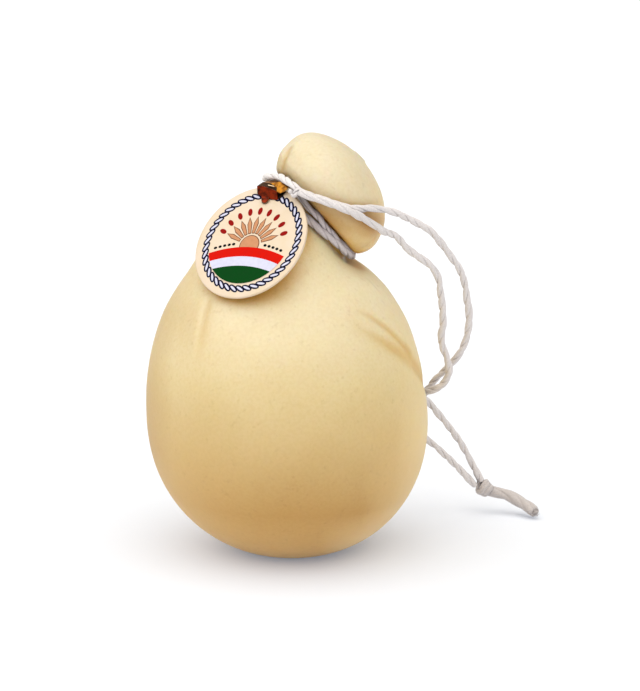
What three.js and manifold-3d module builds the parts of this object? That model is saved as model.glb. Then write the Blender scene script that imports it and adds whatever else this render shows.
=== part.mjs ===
// A caciocavallo: a pear-shaped cheese with its head tied off by a cotton string.
// A round tag hangs on a folded metal clip at the neck. Millimetres, +Z up, front towards -Y.
// The origin is the centre of the small flat spot that the cheese stands on.
import * as THREE from 'three';
import { mergeVertices } from 'three/addons/utils/BufferGeometryUtils.js';
import Module from 'manifold-3d';

const wasm = await Module();
wasm.setup();

const radians = THREE.MathUtils.degToRad;

// Cheese body: an egg that stands on a flat spot and leans slightly to the left
const BELLY_RADIUS = 58;
const BELLY_HEIGHT = 55;
const FLAT_RADIUS = 16.5;
const UPPER_HEIGHT = 80;
const LOWER_FULLNESS = 0.9;
const UPPER_FULLNESS = 0.95;
const BODY_LEAN = radians(-2.1);
const SHOULDER_START = radians(47);

// Shoulder: how hard each side curve leaves the body and arrives at the neck, and its way in there
const LEFT_SIDE = { leave: 1, arrive: 0.9, across: 0.75, along: 0.66 };
const RIGHT_SIDE = { leave: 0.75, arrive: 0.95, across: -0.9, along: -0.1 };

// Neck: the plane of the string, tilted to the right
const TIE_CENTRE = new THREE.Vector2(10, 139.7);
const NECK_TILT = radians(44);
const WAIST_RADIUS = 19.4;
const WAIST_HALF_WIDTH = 4.05;
const LIP_HALF_WIDTH = 5;
const GROOVE_FAN = radians(2.8);
const BODY_LIP_RADIUS = 21.4;
const HEAD_LIP_RADIUS = 25.4;

// Head: a squat dome above the string
const HEAD_RADIUS = 27;
const HEAD_WIDEST = 9.8;
const HEAD_TOP = 29.5;
const HEAD_LEAN = radians(33);

// Folds: where the lips of the groove hang lower and tuck in, by the angle from the right end to the back
const HEAD_FOLDS = [
  { side: radians(180), spread: radians(28), sag: 3.4, tuck: 0.9 },
  { side: 0, spread: radians(50), sag: 1.8, tuck: 1.8 },
];
const BODY_FOLDS = [
  { side: radians(-90), spread: radians(50), sag: -2.2, tuck: 0 },
  { side: 0, spread: radians(50), sag: 1.5, tuck: 0 },
];
const FOLD_AT_WAIST = 0.8;
const FOLD_GROWTH = 3;

// Resolution of the cheese, finest at the marked right front
const RINGS = { lower: 14, upper: 19, shoulder: 8, head: 13 };
const SEGMENTS = 62;
const FINE_SIDE = radians(-35);
const FINE_SHARE = 0.42;

// Marks in the rind: a dent has a negative depth, and each mark fades in over a share of its length
const MARK_SAMPLES = 14;
const BODY_MARKS = [
  { from: [-47, 108], to: [-17, 86], bend: 1.6, depth: -0.9, width: 2.4, fade: 0.6 },
  { from: [-58.6, 104.3], to: [-4, 73], bend: 1.2, depth: -1.1, width: 2.6, fade: 0.6 },
  { from: [-133, 113], to: [-126.5, 88], bend: 1, depth: -0.5, width: 3, fade: 0.2 },
];
const HEAD_MARKS = [
  { points: [[-0.5, -7, 170], [-2.5, -10.5, 165.5], [-3.7, -10.5, 160.5]], depth: -0.8, width: 2.2, fade: 0.2 },
  { points: [[-3.5, -3, 170], [-6.5, -5, 165], [-7.5, -6, 160]], depth: 0.5, width: 2.4, fade: 0.2 },
  { points: [[27.3, 0, 164], [28.6, 6, 162.5]], depth: 1.1, width: 3, fade: 0.1 },
];

// String
const CORD = 3;
const TIE_CORD = 2.8;
const CORD_SIDES = 8;
const TIE_STEPS = 66;
const STRAND_STEPS = 37;
const TIE_SPREAD = 1.55;
const UPPER_FAN = 2.1;
const LOWER_FAN = 1.5;
const FAN_SHARPNESS = 4;
const FRONT_RISE = 0.75;
const FRONT_SIDE = 95;
const FRONT_SPREAD = 45;
const RIGHT_DROP = 1.55;
const RIGHT_SPREAD = 50;
const TURN_RADIUS = 21.3;
const TURN_SLACK = 0.6;
const SLACK_SIDE = 35;

// The tie's course round the neck: degrees from the left end towards the front, radius, way along the axis
const TIE_FIRST_POINTS = [[59, 25.6, 3.4], [69, 22.8, 2.6]];
const TIE_LOOP_POINTS = [
  [672, 25, -0.5], [694, 25.7, -2.6], [712, 26.2, -3.4], [728, 26.9, -2.9],
  [738, 27.2, -1.2], [747, 27.4, 1], [755, 27.9, 2.6], [764, 29.1, 4],
];
const TURNS_FROM = 84;
const LOWER_TURN_FROM = 360;
const TURNS_TO = 660;
const TURN_STEP = 13;
const SINK_FROM = 205;
const RISE_FROM = 565;
const CHANGE_SPAN = 130;
const CROSSING_AT = 630;
const CROSSING_WIDTH = 40;
const CROSSING_HUMP = 3.2;

// Knots, as plain egg shapes
const KNOT_SIDES = 12;
const KNOT_RINGS = 8;
const TIE_KNOT_CENTRE = new THREE.Vector3(1.3, -25.8, 154.8);
const TIE_KNOT_HALF = [3.2, 2.4, 2.4];
const TIE_KNOT_TURN = radians(-30);
const TIE_KNOT_DIP = radians(42);

// The strand that leaves the knot higher, over the head and round behind the cheese
const UPPER_STRAND_ROUTE = [
  [4.9, -26.6, 152.6], [8, -28, 151.7], [11.4, -28.9, 150.6], [15.4, -28.9, 149.3],
  [19.7, -28.7, 147.8], [23.4, -27.8, 146.9], [27.5, -25.6, 146.4], [32.2, -21.8, 145.9],
  [37, -17.8, 144.7], [43.4, -14, 142.2], [50, -10, 138.3], [55.8, -7, 134.4], [60.1, -3, 129.2],
  [64.4, 1, 123.2], [68.6, 5, 116.5], [70.9, 8, 110.3], [72.2, 11, 103],
  [73.3, 14, 96.1], [73.3, 17, 89.1], [71.7, 20, 81.7], [69, 22, 76.1],
  [65.3, 24, 71.4], [60.7, 26.5, 66], [57.3, 28.5, 61], [53.8, 31, 54.5],
  [53, 34.5, 45.6], [56.8, 38.5, 37.1], [62.5, 42, 31.4], [67.9, 45.5, 25.4],
  [73.5, 49, 18.9], [78.5, 51.4, 13],
];

// The strand that leaves the knot lower and crosses in front of the other
const LOWER_STRAND_ROUTE = [
  [4.4, -29.8, 153.2], [7.6, -31.4, 152.1], [11.2, -32.3, 151], [15.4, -32.3, 149.5],
  [19.7, -32.3, 147.9], [24.2, -30.7, 145.6], [28.7, -26, 142.4], [32.9, -21, 139],
  [37.4, -16.6, 135.7], [42.3, -13.5, 133], [45.6, -11, 128.9], [50.2, -8, 124.7],
  [55.6, -5, 120.5], [59.1, -2, 115.5], [60.5, 1, 109.5], [61.5, 4, 102.3],
  [62.2, 7, 95], [61.8, 10, 87.6], [62.3, 12, 82.5], [64.1, 14, 77.8],
  [65.3, 16, 72.6], [64.7, 17.7, 68.3], [62.6, 19.2, 64.8], [59.6, 20.5, 62.6],
  [56, 22, 61.4], [52.7, 24.8, 60.3], [51.2, 28.5, 59], [52.4, 33, 57.4],
  [56.8, 37.5, 53.8], [62.2, 42, 47.2], [67.3, 45, 40.2], [72.1, 48, 33.2],
  [76.3, 50.5, 25.4], [81.4, 52.8, 14.9],
];

const END_KNOT_CENTRE = new THREE.Vector3(83.3, 53, 10.7);
const END_KNOT_HALF = [4, 3.3, 3.5];
const END_KNOT_TURN = radians(25);
const TAIL = 5.2;
const TAIL_STEPS = 5;
const TAIL_ROUTE = [
  [88.2, 53.1, 8.8], [93.3, 51.4, 8], [99.2, 47.5, 5.7], [104.9, 40.6, 2.6],
];

// Tag: a round card disc, turned to the left and leaning back on the shoulder
const TAG_RADIUS = 24.9;
const TAG_THICKNESS = 1.2;
const TAG_EDGE = 0.25;
const TAG_BACK_CENTRE = new THREE.Vector3(-15.5, -27.4, 132.8);
const TAG_TURN = radians(-34);
const TAG_RISE = radians(37);
const TAG_ROLL = radians(4);
const TAG_HOLE_RADIUS = 1.8;
const TAG_HOLE_SIDE = 0.8;
const TAG_HOLE_HEIGHT = 19;
const TAG_SEGMENTS = 48;

// Clip: a folded strip over the tag's edge, with a tongue in its hole and an eye round the string
const CLIP_FOOT = new THREE.Vector3(-9.9, -18.7, 150.4);
const CLIP_WIDTH = 10.2;
const CLIP_DEPTH = 8.2;
const CLIP_HEIGHT = 4.6;
const CLIP_ROLL = radians(4);
const CLIP_SHEET = 0.8;
const CLIP_CORNER = 1.1;
const CORNER_STEPS = 4;
const CUT_CORNER = 3.4;
const TONGUE_WIDTH = 2.4;
const TONGUE_SIDE = -0.1;
const TONGUE_REACH = 2.2;
const TONGUE_HOOK = 1.5;
const EYE_RADIUS = 2.1;
const EYE_WIRE = 0.35;
const EYE_ANGLE = 24;
const EYE_SIDES = 8;
const EYE_STEPS = 16;
const STEM_SIDE = -2.4;
const STEM_WIDTH = 1.6;
const STEM_LENGTH = 2.1;
const STEM_DROP = 0.7;

const SAME_PLACE = 1e-4;

const COLOURS = {
  cheese: 0xe3cd98,
  string: 0xd8cfc6,
  tag: 0xf6e6c8,
  clip: 0xa8581c,
};

const neckAxis = new THREE.Vector2(Math.sin(NECK_TILT), Math.cos(NECK_TILT));
const neckAcross = new THREE.Vector2(Math.cos(NECK_TILT), -Math.sin(NECK_TILT));

function material(colour, roughness, metalness = 0) {
  return new THREE.MeshStandardMaterial({ color: colour, roughness, metalness });
}

function smoothStep(t) {
  const c = THREE.MathUtils.clamp(t, 0, 1);
  return c * c * (3 - 2 * c);
}

// A ring is a circle across the cheese: its centre (x, z), radius and tilt to the right,
// and near the groove how far it takes part in the folds of the head or of the body
function ringEnds(ring) {
  const across = new THREE.Vector2(Math.cos(ring.tilt), -Math.sin(ring.tilt)).multiplyScalar(ring.radius);
  const centre = new THREE.Vector2(ring.x, ring.z);
  return { left: centre.clone().sub(across), right: centre.clone().add(across) };
}

function ringBetween(left, right) {
  const across = right.clone().sub(left);
  return {
    x: (left.x + right.x) / 2,
    z: (left.y + right.y) / 2,
    radius: across.length() / 2,
    tilt: Math.atan2(-across.y, across.x),
  };
}

// The egg at angle psi, from below the belly to above it
function bodyRing(psi) {
  const lowest = Math.acos((FLAT_RADIUS / BELLY_RADIUS) ** (1 / LOWER_FULLNESS));
  const reach = psi < 0 ? BELLY_HEIGHT / Math.sin(lowest) : UPPER_HEIGHT;
  const fullness = psi < 0 ? LOWER_FULLNESS : UPPER_FULLNESS;
  const z = BELLY_HEIGHT + reach * Math.sin(psi);
  const radius = BELLY_RADIUS * Math.cos(psi) ** fullness;
  return { x: z * Math.tan(BODY_LEAN), z, radius, tilt: 0 };
}

function bodyRings() {
  const lowest = Math.acos((FLAT_RADIUS / BELLY_RADIUS) ** (1 / LOWER_FULLNESS));
  const rings = [];
  for (let i = 0; i < RINGS.lower; i += 1) {
    rings.push(bodyRing(-lowest * (1 - i / RINGS.lower)));
  }
  rings[0].z = 0;
  for (let i = 0; i <= RINGS.upper; i += 1) {
    rings.push(bodyRing((SHOULDER_START * i) / RINGS.upper));
  }
  return rings;
}

// A side curve of the shoulder, from a ring's end on the body to the lip of the neck
function sideCurve(from, up, to, side) {
  const third = from.distanceTo(to) / 3;
  const wayIn = neckAcross.clone().multiplyScalar(side.across).addScaledVector(neckAxis, side.along);
  return new THREE.CubicBezierCurve(
    from,
    from.clone().addScaledVector(up, third * side.leave),
    to.clone().addScaledVector(wayIn, -third * side.arrive),
    to,
  );
}

// The shoulder: rings that fan from level to the tilt of the neck, between two side curves
function shoulderRings(start) {
  const from = ringEnds(start);
  const lipCentre = TIE_CENTRE.clone().addScaledVector(neckAxis, -LIP_HALF_WIDTH);
  const lip = { x: lipCentre.x, z: lipCentre.y, radius: BODY_LIP_RADIUS, tilt: NECK_TILT - GROOVE_FAN };
  const to = ringEnds(lip);
  const rise = UPPER_HEIGHT * Math.cos(SHOULDER_START);
  const narrowing = BELLY_RADIUS * UPPER_FULLNESS * Math.sin(SHOULDER_START)
    * Math.cos(SHOULDER_START) ** (UPPER_FULLNESS - 1);
  const left = sideCurve(from.left, new THREE.Vector2(narrowing, rise).normalize(), to.left, LEFT_SIDE);
  const right = sideCurve(from.right, new THREE.Vector2(-narrowing, rise).normalize(), to.right, RIGHT_SIDE);
  const rings = [];
  for (let i = 1; i <= RINGS.shoulder; i += 1) {
    const t = i / RINGS.shoulder;
    rings.push({ ...ringBetween(left.getPoint(t), right.getPoint(t)), bodyFold: t ** FOLD_GROWTH });
  }
  return rings;
}

// The groove under the string
function waistRings() {
  return [-1, 0, 1].map((side) => {
    const centre = TIE_CENTRE.clone().addScaledVector(neckAxis, side * WAIST_HALF_WIDTH);
    return {
      x: centre.x,
      z: centre.y,
      radius: WAIST_RADIUS,
      tilt: NECK_TILT + side * GROOVE_FAN,
      headFold: Math.max(side, 0) * FOLD_AT_WAIST,
      bodyFold: Math.max(-side, 0) * FOLD_AT_WAIST,
    };
  });
}

// The head: out from its lip to the widest ring and over the dome
function headRings() {
  const spine = new THREE.Vector2(Math.sin(HEAD_LEAN), Math.cos(HEAD_LEAN));
  spine.divideScalar(Math.cos(NECK_TILT - HEAD_LEAN));
  const lipAngle = -Math.acos(HEAD_LIP_RADIUS / HEAD_RADIUS);
  const rings = [];
  for (let i = 0; i < RINGS.head; i += 1) {
    const angle = lipAngle + ((Math.PI / 2 - lipAngle) * i) / RINGS.head;
    const below = Math.max(angle / lipAngle, 0);
    const reach = angle < 0 ? (HEAD_WIDEST - LIP_HALF_WIDTH) / -Math.sin(lipAngle) : HEAD_TOP - HEAD_WIDEST;
    const centre = TIE_CENTRE.clone().addScaledVector(spine, HEAD_WIDEST + reach * Math.sin(angle));
    rings.push({
      x: centre.x,
      z: centre.y,
      radius: HEAD_RADIUS * Math.cos(angle),
      tilt: NECK_TILT + GROOVE_FAN * below,
      headFold: below,
    });
  }
  const top = TIE_CENTRE.clone().addScaledVector(spine, HEAD_TOP);
  return { rings, top: new THREE.Vector3(top.x, 0, top.y) };
}

// A mark on the body runs from one (azimuth in degrees, height) to another on its surface
function bodyMarkPoints(mark) {
  const points = [];
  for (let i = 0; i <= MARK_SAMPLES; i += 1) {
    const t = i / MARK_SAMPLES;
    const azimuth = radians(mark.from[0] + (mark.to[0] - mark.from[0]) * t);
    const z = mark.from[1] + (mark.to[1] - mark.from[1]) * t ** mark.bend;
    const ring = bodyRing(Math.asin((z - BELLY_HEIGHT) / UPPER_HEIGHT));
    points.push(new THREE.Vector3(
      ring.x + ring.radius * Math.cos(azimuth),
      ring.radius * Math.sin(azimuth),
      z,
    ));
  }
  return points;
}

// How far a point is from a line of points, and at what share of the line
function nearestOnLine(point, points) {
  const nearest = new THREE.Vector3();
  const best = { away: Infinity, share: 0 };
  for (let i = 0; i + 1 < points.length; i += 1) {
    const piece = new THREE.Line3(points[i], points[i + 1]);
    const along = piece.closestPointToPointParameter(point, true);
    const away = piece.at(along, nearest).distanceTo(point);
    if (away < best.away) {
      best.away = away;
      best.share = (i + along) / (points.length - 1);
    }
  }
  return best;
}

const marks = [
  ...BODY_MARKS.map((mark) => ({ ...mark, points: bodyMarkPoints(mark) })),
  ...HEAD_MARKS.map((mark) => ({ ...mark, points: mark.points.map((p) => new THREE.Vector3(...p)) })),
];

function relief(point) {
  let height = 0;
  for (const mark of marks) {
    const place = nearestOnLine(point, mark.points);
    const near = Math.exp(-((place.away / mark.width) ** 2));
    height += mark.depth * near * smoothStep(place.share / mark.fade);
  }
  return height;
}

// How far the folds move a point of a ring, by its angle from the right end
function foldShift(angle, folds, share) {
  const shift = new THREE.Vector2();
  for (const fold of folds) {
    const away = Math.acos(Math.cos(angle - fold.side));
    const weight = share * Math.exp(-((away / fold.spread) ** 2));
    shift.addScaledVector(neckAxis, -fold.sag * weight);
    shift.addScaledVector(neckAcross, -fold.tuck * weight * Math.cos(fold.side));
  }
  return new THREE.Vector3(shift.x, 0, shift.y);
}

function ringPoints(ring) {
  const points = [];
  for (let j = 0; j < SEGMENTS; j += 1) {
    const even = (2 * Math.PI * j) / SEGMENTS - Math.PI;
    const angle = FINE_SIDE + even - FINE_SHARE * Math.sin(even);
    const outward = new THREE.Vector3(
      Math.cos(angle) * Math.cos(ring.tilt),
      Math.sin(angle),
      -Math.cos(angle) * Math.sin(ring.tilt),
    );
    const point = new THREE.Vector3(ring.x, 0, ring.z).addScaledVector(outward, ring.radius);
    point.add(foldShift(angle, HEAD_FOLDS, ring.headFold ?? 0));
    point.add(foldShift(angle, BODY_FOLDS, ring.bodyFold ?? 0));
    points.push(point.addScaledVector(outward, relief(point)));
  }
  return points;
}

function makeCheese() {
  const body = bodyRings();
  const head = headRings();
  const rings = [...body, ...shoulderRings(body.at(-1)), ...waistRings(), ...head.rings];
  const positions = [0, 0, 0];
  rings.forEach((ring) => ringPoints(ring).forEach((p) => positions.push(p.x, p.y, p.z)));
  positions.push(head.top.x, head.top.y, head.top.z);
  const topIndex = positions.length / 3 - 1;
  const at = (i, j) => 1 + i * SEGMENTS + (j % SEGMENTS);
  const index = [];
  for (let j = 0; j < SEGMENTS; j += 1) {
    index.push(0, at(0, j + 1), at(0, j));
    for (let i = 0; i + 1 < rings.length; i += 1) {
      index.push(at(i, j), at(i, j + 1), at(i + 1, j));
      index.push(at(i, j + 1), at(i + 1, j + 1), at(i + 1, j));
    }
    index.push(at(rings.length - 1, j), at(rings.length - 1, j + 1), topIndex);
  }
  const geometry = new THREE.BufferGeometry();
  geometry.setAttribute('position', new THREE.Float32BufferAttribute(positions, 3));
  geometry.setIndex(index);
  geometry.computeVertexNormals();
  return geometry;
}

// A point round the neck: degrees from the left end towards the front, out from the axis, along the axis
function neckPoint(degrees, radius, along) {
  const angle = radians(degrees);
  const inPlane = TIE_CENTRE.clone().addScaledVector(neckAcross, -radius * Math.cos(angle));
  inPlane.addScaledVector(neckAxis, along);
  return new THREE.Vector3(inPlane.x, -radius * Math.sin(angle), inPlane.y);
}

// The turns: one high and one low in the groove, parted at the left end and crossing behind the neck
function turnPoint(degrees) {
  const round = THREE.MathUtils.euclideanModulo(degrees, 360);
  const parted = ((1 + Math.cos(radians(degrees))) / 2) ** FAN_SHARPNESS;
  const rise = FRONT_RISE * Math.exp(-(((round - FRONT_SIDE) / FRONT_SPREAD) ** 2));
  const drop = RIGHT_DROP * Math.exp(-(((round - 180) / RIGHT_SPREAD) ** 2));
  const upper = TIE_SPREAD + UPPER_FAN * parted;
  const lower = TIE_SPREAD + LOWER_FAN * parted;
  const sunk = smoothStep((degrees - SINK_FROM) / CHANGE_SPAN);
  const low = sunk - smoothStep((degrees - RISE_FROM) / CHANGE_SPAN);
  const hump = CROSSING_HUMP * Math.exp(-(((degrees - CROSSING_AT) / CROSSING_WIDTH) ** 2));
  const slack = TURN_SLACK * (1 + Math.cos(radians(degrees + SLACK_SIDE)));
  const radius = TURN_RADIUS + slack + hump;
  return neckPoint(degrees, radius, rise - drop + upper * (1 - low) - lower * low);
}

// The tie: from the knot twice round the neck and in a slack loop over the clip back to the knot
function tiePath() {
  const points = TIE_FIRST_POINTS.map((p) => neckPoint(...p));
  for (let degrees = TURNS_FROM; degrees < TURNS_TO; degrees += TURN_STEP) {
    points.push(turnPoint(degrees));
  }
  points.push(...TIE_LOOP_POINTS.map((p) => neckPoint(...p)));
  return new THREE.CatmullRomCurve3(points, false, 'centripetal');
}

function routePath(route) {
  return new THREE.CatmullRomCurve3(route.map((p) => new THREE.Vector3(...p)), false, 'centripetal');
}

function makeTube(path, diameter, steps) {
  const section = new THREE.Shape();
  for (let i = 0; i < CORD_SIDES; i += 1) {
    const angle = (2 * Math.PI * i) / CORD_SIDES;
    const corner = [Math.cos(angle), Math.sin(angle)].map((c) => (c * diameter) / 2);
    if (i === 0) section.moveTo(...corner);
    else section.lineTo(...corner);
  }
  section.closePath();
  return new THREE.ExtrudeGeometry(section, { steps, extrudePath: path, bevelEnabled: false });
}

function makeKnot(halfSizes) {
  return new THREE.SphereGeometry(1, KNOT_SIDES, KNOT_RINGS).scale(...halfSizes);
}

function makeTag() {
  const outline = new THREE.Shape().absarc(0, 0, TAG_RADIUS - TAG_EDGE, 0, 2 * Math.PI);
  const holeRadius = TAG_HOLE_RADIUS + TAG_EDGE;
  outline.holes.push(new THREE.Path().absarc(TAG_HOLE_SIDE, TAG_HOLE_HEIGHT, holeRadius, 0, 2 * Math.PI, true));
  const geometry = new THREE.ExtrudeGeometry(outline, {
    depth: TAG_THICKNESS - 2 * TAG_EDGE,
    bevelEnabled: true,
    bevelSize: TAG_EDGE,
    bevelThickness: TAG_EDGE,
    bevelSegments: 1,
    curveSegments: TAG_SEGMENTS,
  });
  return geometry.translate(0, 0, TAG_EDGE);
}

// Booleans for the clip
function toSolid(geometry) {
  const plain = geometry.clone();
  plain.deleteAttribute('normal');
  plain.deleteAttribute('uv');
  const merged = mergeVertices(plain, SAME_PLACE);
  return new wasm.Manifold(new wasm.Mesh({
    numProp: 3,
    vertProperties: Float32Array.from(merged.attributes.position.array),
    triVerts: Uint32Array.from(merged.index.array),
  }));
}

function toGeometry(solid) {
  const mesh = solid.getMesh();
  const geometry = new THREE.BufferGeometry();
  geometry.setAttribute('position', new THREE.Float32BufferAttribute(mesh.vertProperties, 3));
  geometry.setIndex(Array.from(mesh.triVerts));
  geometry.computeVertexNormals();
  return geometry;
}

// A side outline of the clip, in (depth, height), pushed out along its width
function pushSideways(shape, width) {
  const geometry = new THREE.ExtrudeGeometry(shape, {
    depth: width,
    bevelEnabled: false,
    curveSegments: CORNER_STEPS,
  });
  geometry.translate(0, 0, -width / 2);
  const turn = new THREE.Matrix4().makeBasis(
    new THREE.Vector3(0, 1, 0),
    new THREE.Vector3(0, 0, 1),
    new THREE.Vector3(1, 0, 0),
  );
  return geometry.applyMatrix4(turn);
}

function clipBandShape() {
  const inner = CLIP_CORNER - CLIP_SHEET;
  const shape = new THREE.Shape();
  shape.moveTo(0, 0);
  shape.lineTo(CLIP_SHEET, 0);
  shape.lineTo(CLIP_SHEET, CLIP_HEIGHT - CLIP_CORNER);
  shape.absarc(CLIP_CORNER, CLIP_HEIGHT - CLIP_CORNER, inner, Math.PI, Math.PI / 2, true);
  shape.lineTo(CLIP_DEPTH, CLIP_HEIGHT - CLIP_SHEET);
  shape.lineTo(CLIP_DEPTH, CLIP_HEIGHT);
  shape.lineTo(CLIP_CORNER, CLIP_HEIGHT);
  shape.absarc(CLIP_CORNER, CLIP_HEIGHT - CLIP_CORNER, CLIP_CORNER, Math.PI / 2, Math.PI);
  shape.closePath();
  return shape;
}

// The tongue runs down the tag's face and hooks into its hole
function clipTongueShape() {
  const down = new THREE.Vector2(-Math.sin(TAG_RISE), -Math.cos(TAG_RISE));
  const into = new THREE.Vector2(Math.cos(TAG_RISE), -Math.sin(TAG_RISE));
  const root = new THREE.Vector2(0, CLIP_SHEET);
  const tip = new THREE.Vector2(0, 0).addScaledVector(down, TONGUE_REACH);
  const hookEnd = tip.clone().addScaledVector(into, CLIP_SHEET + TONGUE_HOOK);
  const hookTop = hookEnd.clone().addScaledVector(down, -CLIP_SHEET);
  const bend = tip.clone().addScaledVector(into, CLIP_SHEET).addScaledVector(down, -CLIP_SHEET);
  const back = new THREE.Vector2(0, 0).addScaledVector(into, CLIP_SHEET);
  const backRoot = new THREE.Vector2(CLIP_SHEET, CLIP_SHEET);
  return new THREE.Shape([root, tip, hookEnd, hookTop, bend, back, backRoot]);
}

// The eye is a wire ring round the lower turn of the string, in the clip's own frame
function clipEye() {
  const round = LOWER_TURN_FROM + EYE_ANGLE;
  const centre = turnPoint(round);
  const along = turnPoint(round + 1).sub(turnPoint(round - 1)).normalize();
  const ring = new THREE.TorusGeometry(EYE_RADIUS, EYE_WIRE, EYE_SIDES, EYE_STEPS);
  ring.applyQuaternion(new THREE.Quaternion().setFromUnitVectors(new THREE.Vector3(0, 0, 1), along));
  ring.translate(centre.x, centre.y, centre.z);
  ring.translate(-CLIP_FOOT.x, -CLIP_FOOT.y, -CLIP_FOOT.z);
  return ring.rotateZ(-TAG_TURN).rotateY(-CLIP_ROLL);
}

// The stem slopes down from the clip's top to the eye
function clipStem() {
  const shape = new THREE.Shape();
  shape.moveTo(CLIP_DEPTH - CLIP_SHEET, CLIP_HEIGHT - CLIP_SHEET);
  shape.lineTo(CLIP_DEPTH + STEM_LENGTH, CLIP_HEIGHT - STEM_DROP - CLIP_SHEET);
  shape.lineTo(CLIP_DEPTH + STEM_LENGTH, CLIP_HEIGHT - STEM_DROP);
  shape.lineTo(CLIP_DEPTH - CLIP_SHEET, CLIP_HEIGHT);
  shape.closePath();
  return pushSideways(shape, STEM_WIDTH).translate(STEM_SIDE, 0, 0);
}

function makeClip() {
  const cutFrom = new THREE.Vector2(CLIP_WIDTH / 2, CLIP_DEPTH - CUT_CORNER);
  const inward = new THREE.Vector2(-1, -1).normalize();
  const band = toSolid(pushSideways(clipBandShape(), CLIP_WIDTH))
    .trimByPlane([inward.x, inward.y, 0], inward.dot(cutFrom));
  const tongue = toSolid(pushSideways(clipTongueShape(), TONGUE_WIDTH).translate(TONGUE_SIDE, 0, 0));
  const eye = toSolid(clipEye()).add(toSolid(clipStem()));
  return toGeometry(band.add(tongue).add(eye));
}

function add(parent, name, geometry, finish) {
  const mesh = new THREE.Mesh(geometry, finish);
  mesh.name = name;
  parent.add(mesh);
  return mesh;
}

const group = new THREE.Group();
const stringFinish = () => material(COLOURS.string, 0.9);

add(group, 'cheese', makeCheese(), material(COLOURS.cheese, 0.45));
add(group, 'neck_tie', makeTube(tiePath(), TIE_CORD, TIE_STEPS), stringFinish());

const tieKnot = add(group, 'tie_knot', makeKnot(TIE_KNOT_HALF), stringFinish());
tieKnot.position.copy(TIE_KNOT_CENTRE);
tieKnot.rotation.set(0, TIE_KNOT_DIP, TIE_KNOT_TURN, 'ZYX');

add(group, 'string_upper', makeTube(routePath(UPPER_STRAND_ROUTE), CORD, STRAND_STEPS), stringFinish());
add(group, 'string_lower', makeTube(routePath(LOWER_STRAND_ROUTE), CORD, STRAND_STEPS), stringFinish());

const endKnot = add(group, 'end_knot', makeKnot(END_KNOT_HALF), stringFinish());
endKnot.position.copy(END_KNOT_CENTRE);
endKnot.rotation.y = END_KNOT_TURN;
add(group, 'string_tail', makeTube(routePath(TAIL_ROUTE), TAIL, TAIL_STEPS), stringFinish());

const tagTurn = new THREE.Group();
tagTurn.position.copy(TAG_BACK_CENTRE);
tagTurn.rotation.set(Math.PI / 2 - TAG_RISE, 0, TAG_TURN, 'ZYX');
group.add(tagTurn);
const tag = add(tagTurn, 'tag', makeTag(), material(COLOURS.tag, 0.35));
tag.rotation.z = TAG_ROLL;

const clipFrame = new THREE.Group();
clipFrame.position.copy(CLIP_FOOT);
clipFrame.rotation.set(0, CLIP_ROLL, TAG_TURN, 'ZYX');
group.add(clipFrame);
add(clipFrame, 'tag_clip', makeClip(), material(COLOURS.clip, 0.3, 0.9));

export default group;
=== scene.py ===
"""A caciocavallo cheese, tied at the neck with a cotton string that carries a round tag on a metal clip.

Sizes and places are in millimetres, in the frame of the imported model, and MM turns them into metres.
"""
from collections import namedtuple
from math import acos, atan, atan2, copysign, cos, exp, pi, radians, sin, tan

import bmesh
import bpy
import numpy as np
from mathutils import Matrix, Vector, noise


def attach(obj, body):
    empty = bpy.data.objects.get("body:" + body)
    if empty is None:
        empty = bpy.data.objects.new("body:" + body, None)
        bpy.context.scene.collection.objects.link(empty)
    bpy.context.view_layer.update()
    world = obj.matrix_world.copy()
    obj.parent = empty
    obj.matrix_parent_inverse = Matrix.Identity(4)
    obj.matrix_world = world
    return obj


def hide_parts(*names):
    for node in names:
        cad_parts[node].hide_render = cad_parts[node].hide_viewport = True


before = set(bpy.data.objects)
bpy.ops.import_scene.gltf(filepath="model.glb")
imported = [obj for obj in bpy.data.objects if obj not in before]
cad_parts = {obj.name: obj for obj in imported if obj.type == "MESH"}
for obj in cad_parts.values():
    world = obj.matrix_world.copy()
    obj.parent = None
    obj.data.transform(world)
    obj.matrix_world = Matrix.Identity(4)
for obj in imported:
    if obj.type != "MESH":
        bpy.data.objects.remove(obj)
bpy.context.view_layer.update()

MM = 0.001

# Camera: the image is 691 pixels high, and the focal length is given in its pixels
IMAGE_HEIGHT = 691
FOCAL_PIXELS = 2439
SENSOR_HEIGHT = 36
CAMERA_RISE = radians(12)
CAMERA_DISTANCE = 1000
CAMERA_AIM = Vector((11.48, 0, 85.72))

# Cheese body, an egg that leans slightly to the left
BELLY_RADIUS = 58
BELLY_HEIGHT = 55
FLAT_RADIUS = 16.5
UPPER_HEIGHT = 80
LOWER_FULLNESS = 0.9
UPPER_FULLNESS = 0.95
BODY_LEAN = radians(-2.1)
SHOULDER_START = radians(47)
LOWEST = acos((FLAT_RADIUS / BELLY_RADIUS) ** (1 / LOWER_FULLNESS))

# Shoulder: how hard each side curve leaves the body and arrives at the neck, and its way in there
LEFT_SIDE = {"leave": 1, "arrive": 0.9, "across": 0.75, "along": 0.66}
RIGHT_SIDE = {"leave": 0.75, "arrive": 0.95, "across": -0.9, "along": -0.1}

# Neck, in (x, z): the plane of the string, tilted to the right
TIE_CENTRE = np.array([10, 139.7])
NECK_TILT = radians(44)
NECK_AXIS = np.array([sin(NECK_TILT), cos(NECK_TILT)])
NECK_ACROSS = np.array([cos(NECK_TILT), -sin(NECK_TILT)])
WAIST_RADIUS = 19.4
WAIST_HALF_WIDTH = 4.05
LIP_HALF_WIDTH = 5
GROOVE_FAN = radians(2.8)
BODY_LIP_RADIUS = 21.4
HEAD_LIP_RADIUS = 25.4

# Head
HEAD_RADIUS = 27
HEAD_WIDEST = 9.8
HEAD_TOP = 29.5
HEAD_LEAN = radians(33)

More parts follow.
